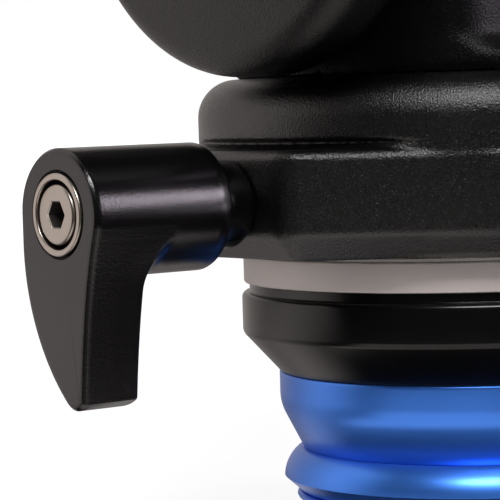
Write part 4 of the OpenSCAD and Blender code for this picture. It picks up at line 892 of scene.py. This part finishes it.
plug_r, plug_from, cap_end, dimple_r = 5.98, 199.0, 212.0, 8.0
cap_edge = [(grip_r - grip_round + grip_round * math.cos(a), cap_end - grip_round + grip_round * math.sin(a))
            for a in np.radians(np.arange(0, 91, 10))]
fit(turned("grip_cap_moulding",
           [(0.02, plug_from), (plug_r - 0.48, plug_from), (plug_r, plug_from + 0.5), (plug_r, grip_to),
            (grip_r - 0.4, grip_to), (grip_r, grip_to + 0.3)] + cap_edge
           + [(dimple_r, cap_end), (dimple_r - 0.3, cap_end - 0.1), (dimple_r - 0.6, cap_end - 0.5),
              (0.02, cap_end - 0.7)], 120, on_handle),
    moulded, "handle", "black_anodised", "grip_cap")

# Studio floor and backdrop: white paper under the head and behind it, with the head's soft shadow on it.
# The camera sees both as white. What is glossy sees a pale sheet, brightest to the left behind the head,
# and a dark room in front. On the floor this glossy view is a painted reflection set by place, not lamp light
# on the paper, with two painted pools of light on the floor by the riser's foot.
def mirrored(way):
    """How bright the room is, as a glossy surface sees it along a direction: the sheet, then the front."""
    sheet_way, front_way = (0.407, 0.914, 0.0), (-0.62, -0.78, 0.0)
    facing = way.along(sheet_way)
    sheet = facing.between(-0.22, 0.30) * (1.25 - 0.72 * facing.between(0.45, 0.80))
    return sheet, 0.06 * way.along(front_way).between(0.3, 0.9)


def bare(block):
    """An empty node tree in a material or world, with what tells camera and glossy rays apart."""
    block.use_nodes = True
    block.node_tree.nodes.clear()
    wire = Wire(block.node_tree)
    return wire, *(wire.node("LightPath", out=ray) for ray in ("Is Camera Ray", "Is Glossy Ray"))


room_dark, room_warm, floor_half = 0.012, (1.0, 0.92, 0.89), 6.0
floor_mesh = bpy.data.meshes.new("studio_floor")
floor_mesh.from_pydata([(x * floor_half, y * floor_half, 0) for x, y in ((-1, -1), (1, -1), (1, 1), (-1, 1))],
                       [], [(0, 1, 2, 3)])
floor = stand("studio_floor", floor_mesh)
paper = bpy.data.materials.new("pale_paper")
wire, seen, gloss = bare(paper)
spot = wire.node("NewGeometry", out="Position")
reach = spot.length()
way = wire.node("VectorMath", {"operation": "NORMALIZE"}, {0: spot})
sheet, front = mirrored(way)
left = way.along((-0.866, -0.500, 0.0))
# Painted pools of light: two patches of floor by the riser's foot that glow for glossy rays only.
painted_light_pool = left.between(0.78, 0.88) * reach.between(0.045, 0.060) * (1 - reach.between(0.10, 0.14))
foot = left.between(0.55, 0.80) * reach.between(0.034, 0.038) * (1 - reach.between(0.046, 0.052))
level = (room_dark + sheet * (0.55 + 0.45 * reach.between(0.06, 0.20)) + 1.4 * (painted_light_pool + foot * (1 - sheet))
         + front * reach.between(0.15, 0.45))
pale = wire.node("BsdfDiffuse", None, {"Color": (0.82, 0.82, 0.82, 1)})
white = wire.node("Emission", None, {"Color": (1, 1, 1, 1), "Strength": 1.2})
# The floor's painted reflection: a glow by place that glossy rays see instead of the lit paper.
painted_reflection = wire.node("Emission", None, {"Color": level.of(room_warm)})
lit = wire.node("MixShader", None, {0: seen * (0.75 + 0.25 * reach.between(0.3, 1.0)), 1: pale, 2: white})
mixed = wire.node("MixShader", None, {0: gloss, 1: lit, 2: painted_reflection})
mixed.into(paper.node_tree.nodes.new("ShaderNodeOutputMaterial"), "Surface")
floor_mesh.materials.append(paper)

world = bpy.data.worlds.new("studio")
bpy.context.scene.world = world
wire, seen, gloss = bare(world)
sheet, front = mirrored(wire.node("TexCoord", out="Generated"))
level = gloss * (room_dark + sheet + front) + (1 - gloss) * 0.35
room = wire.node("Background", None, {"Color": level.of(room_warm)})
white = wire.node("Background", None, {"Color": (1, 1, 1, 1)})
sky = wire.node("MixShader", None, {0: seen, 1: room, 2: white})
sky.into(world.node_tree.nodes.new("ShaderNodeOutputWorld"), "Surface")

# Lamps: a soft box on the right at the head's level, a little violet, and one high in front.
# The first draws the band along the lever's barrel, the second the lit upper edges of the castings.
aim = Vector((-0.02, -0.01, 0.05))


def softbox(name, place, width, height, power, colour=(1, 1, 1)):
    lamp = bpy.data.lights.new(name, "AREA")
    lamp.shape, lamp.size, lamp.size_y, lamp.energy, lamp.color = "RECTANGLE", width, height, power, colour
    holder = stand(name, lamp)
    holder.location = place
    holder.rotation_euler = (aim - Vector(place)).to_track_quat("-Z", "Y").to_euler()


softbox("right_box", (0.80, -0.80, 0.24), 0.5, 0.55, 12.0, (0.98, 0.88, 1.0))
softbox("top_box", (-0.43, -0.62, 0.90), 0.6, 0.25, 12.5)

# Camera: a long lens close to the head's lower left rear side, a little above it and tilted slightly.
camera = bpy.data.cameras.new("camera")
camera.sensor_width, camera.lens, camera.clip_start = 36, 181.9, 0.01
view = stand("camera", camera)
ahead = Vector((0.6203, 0.7819, -0.0610)).normalized()
side = ahead.cross(Vector((0, 0, 1))).normalized()
up = side.cross(ahead)
roll = math.radians(-1.73)
right = math.cos(roll) * side + math.sin(roll) * up
over = -math.sin(roll) * side + math.cos(roll) * up
view.matrix_world = Matrix((right, over, -ahead)).transposed().to_4x4()
view.location = (-0.2265, -0.2387, 0.0546)
bpy.context.scene.camera = view
bpy.context.scene.view_settings.view_transform = "Standard"
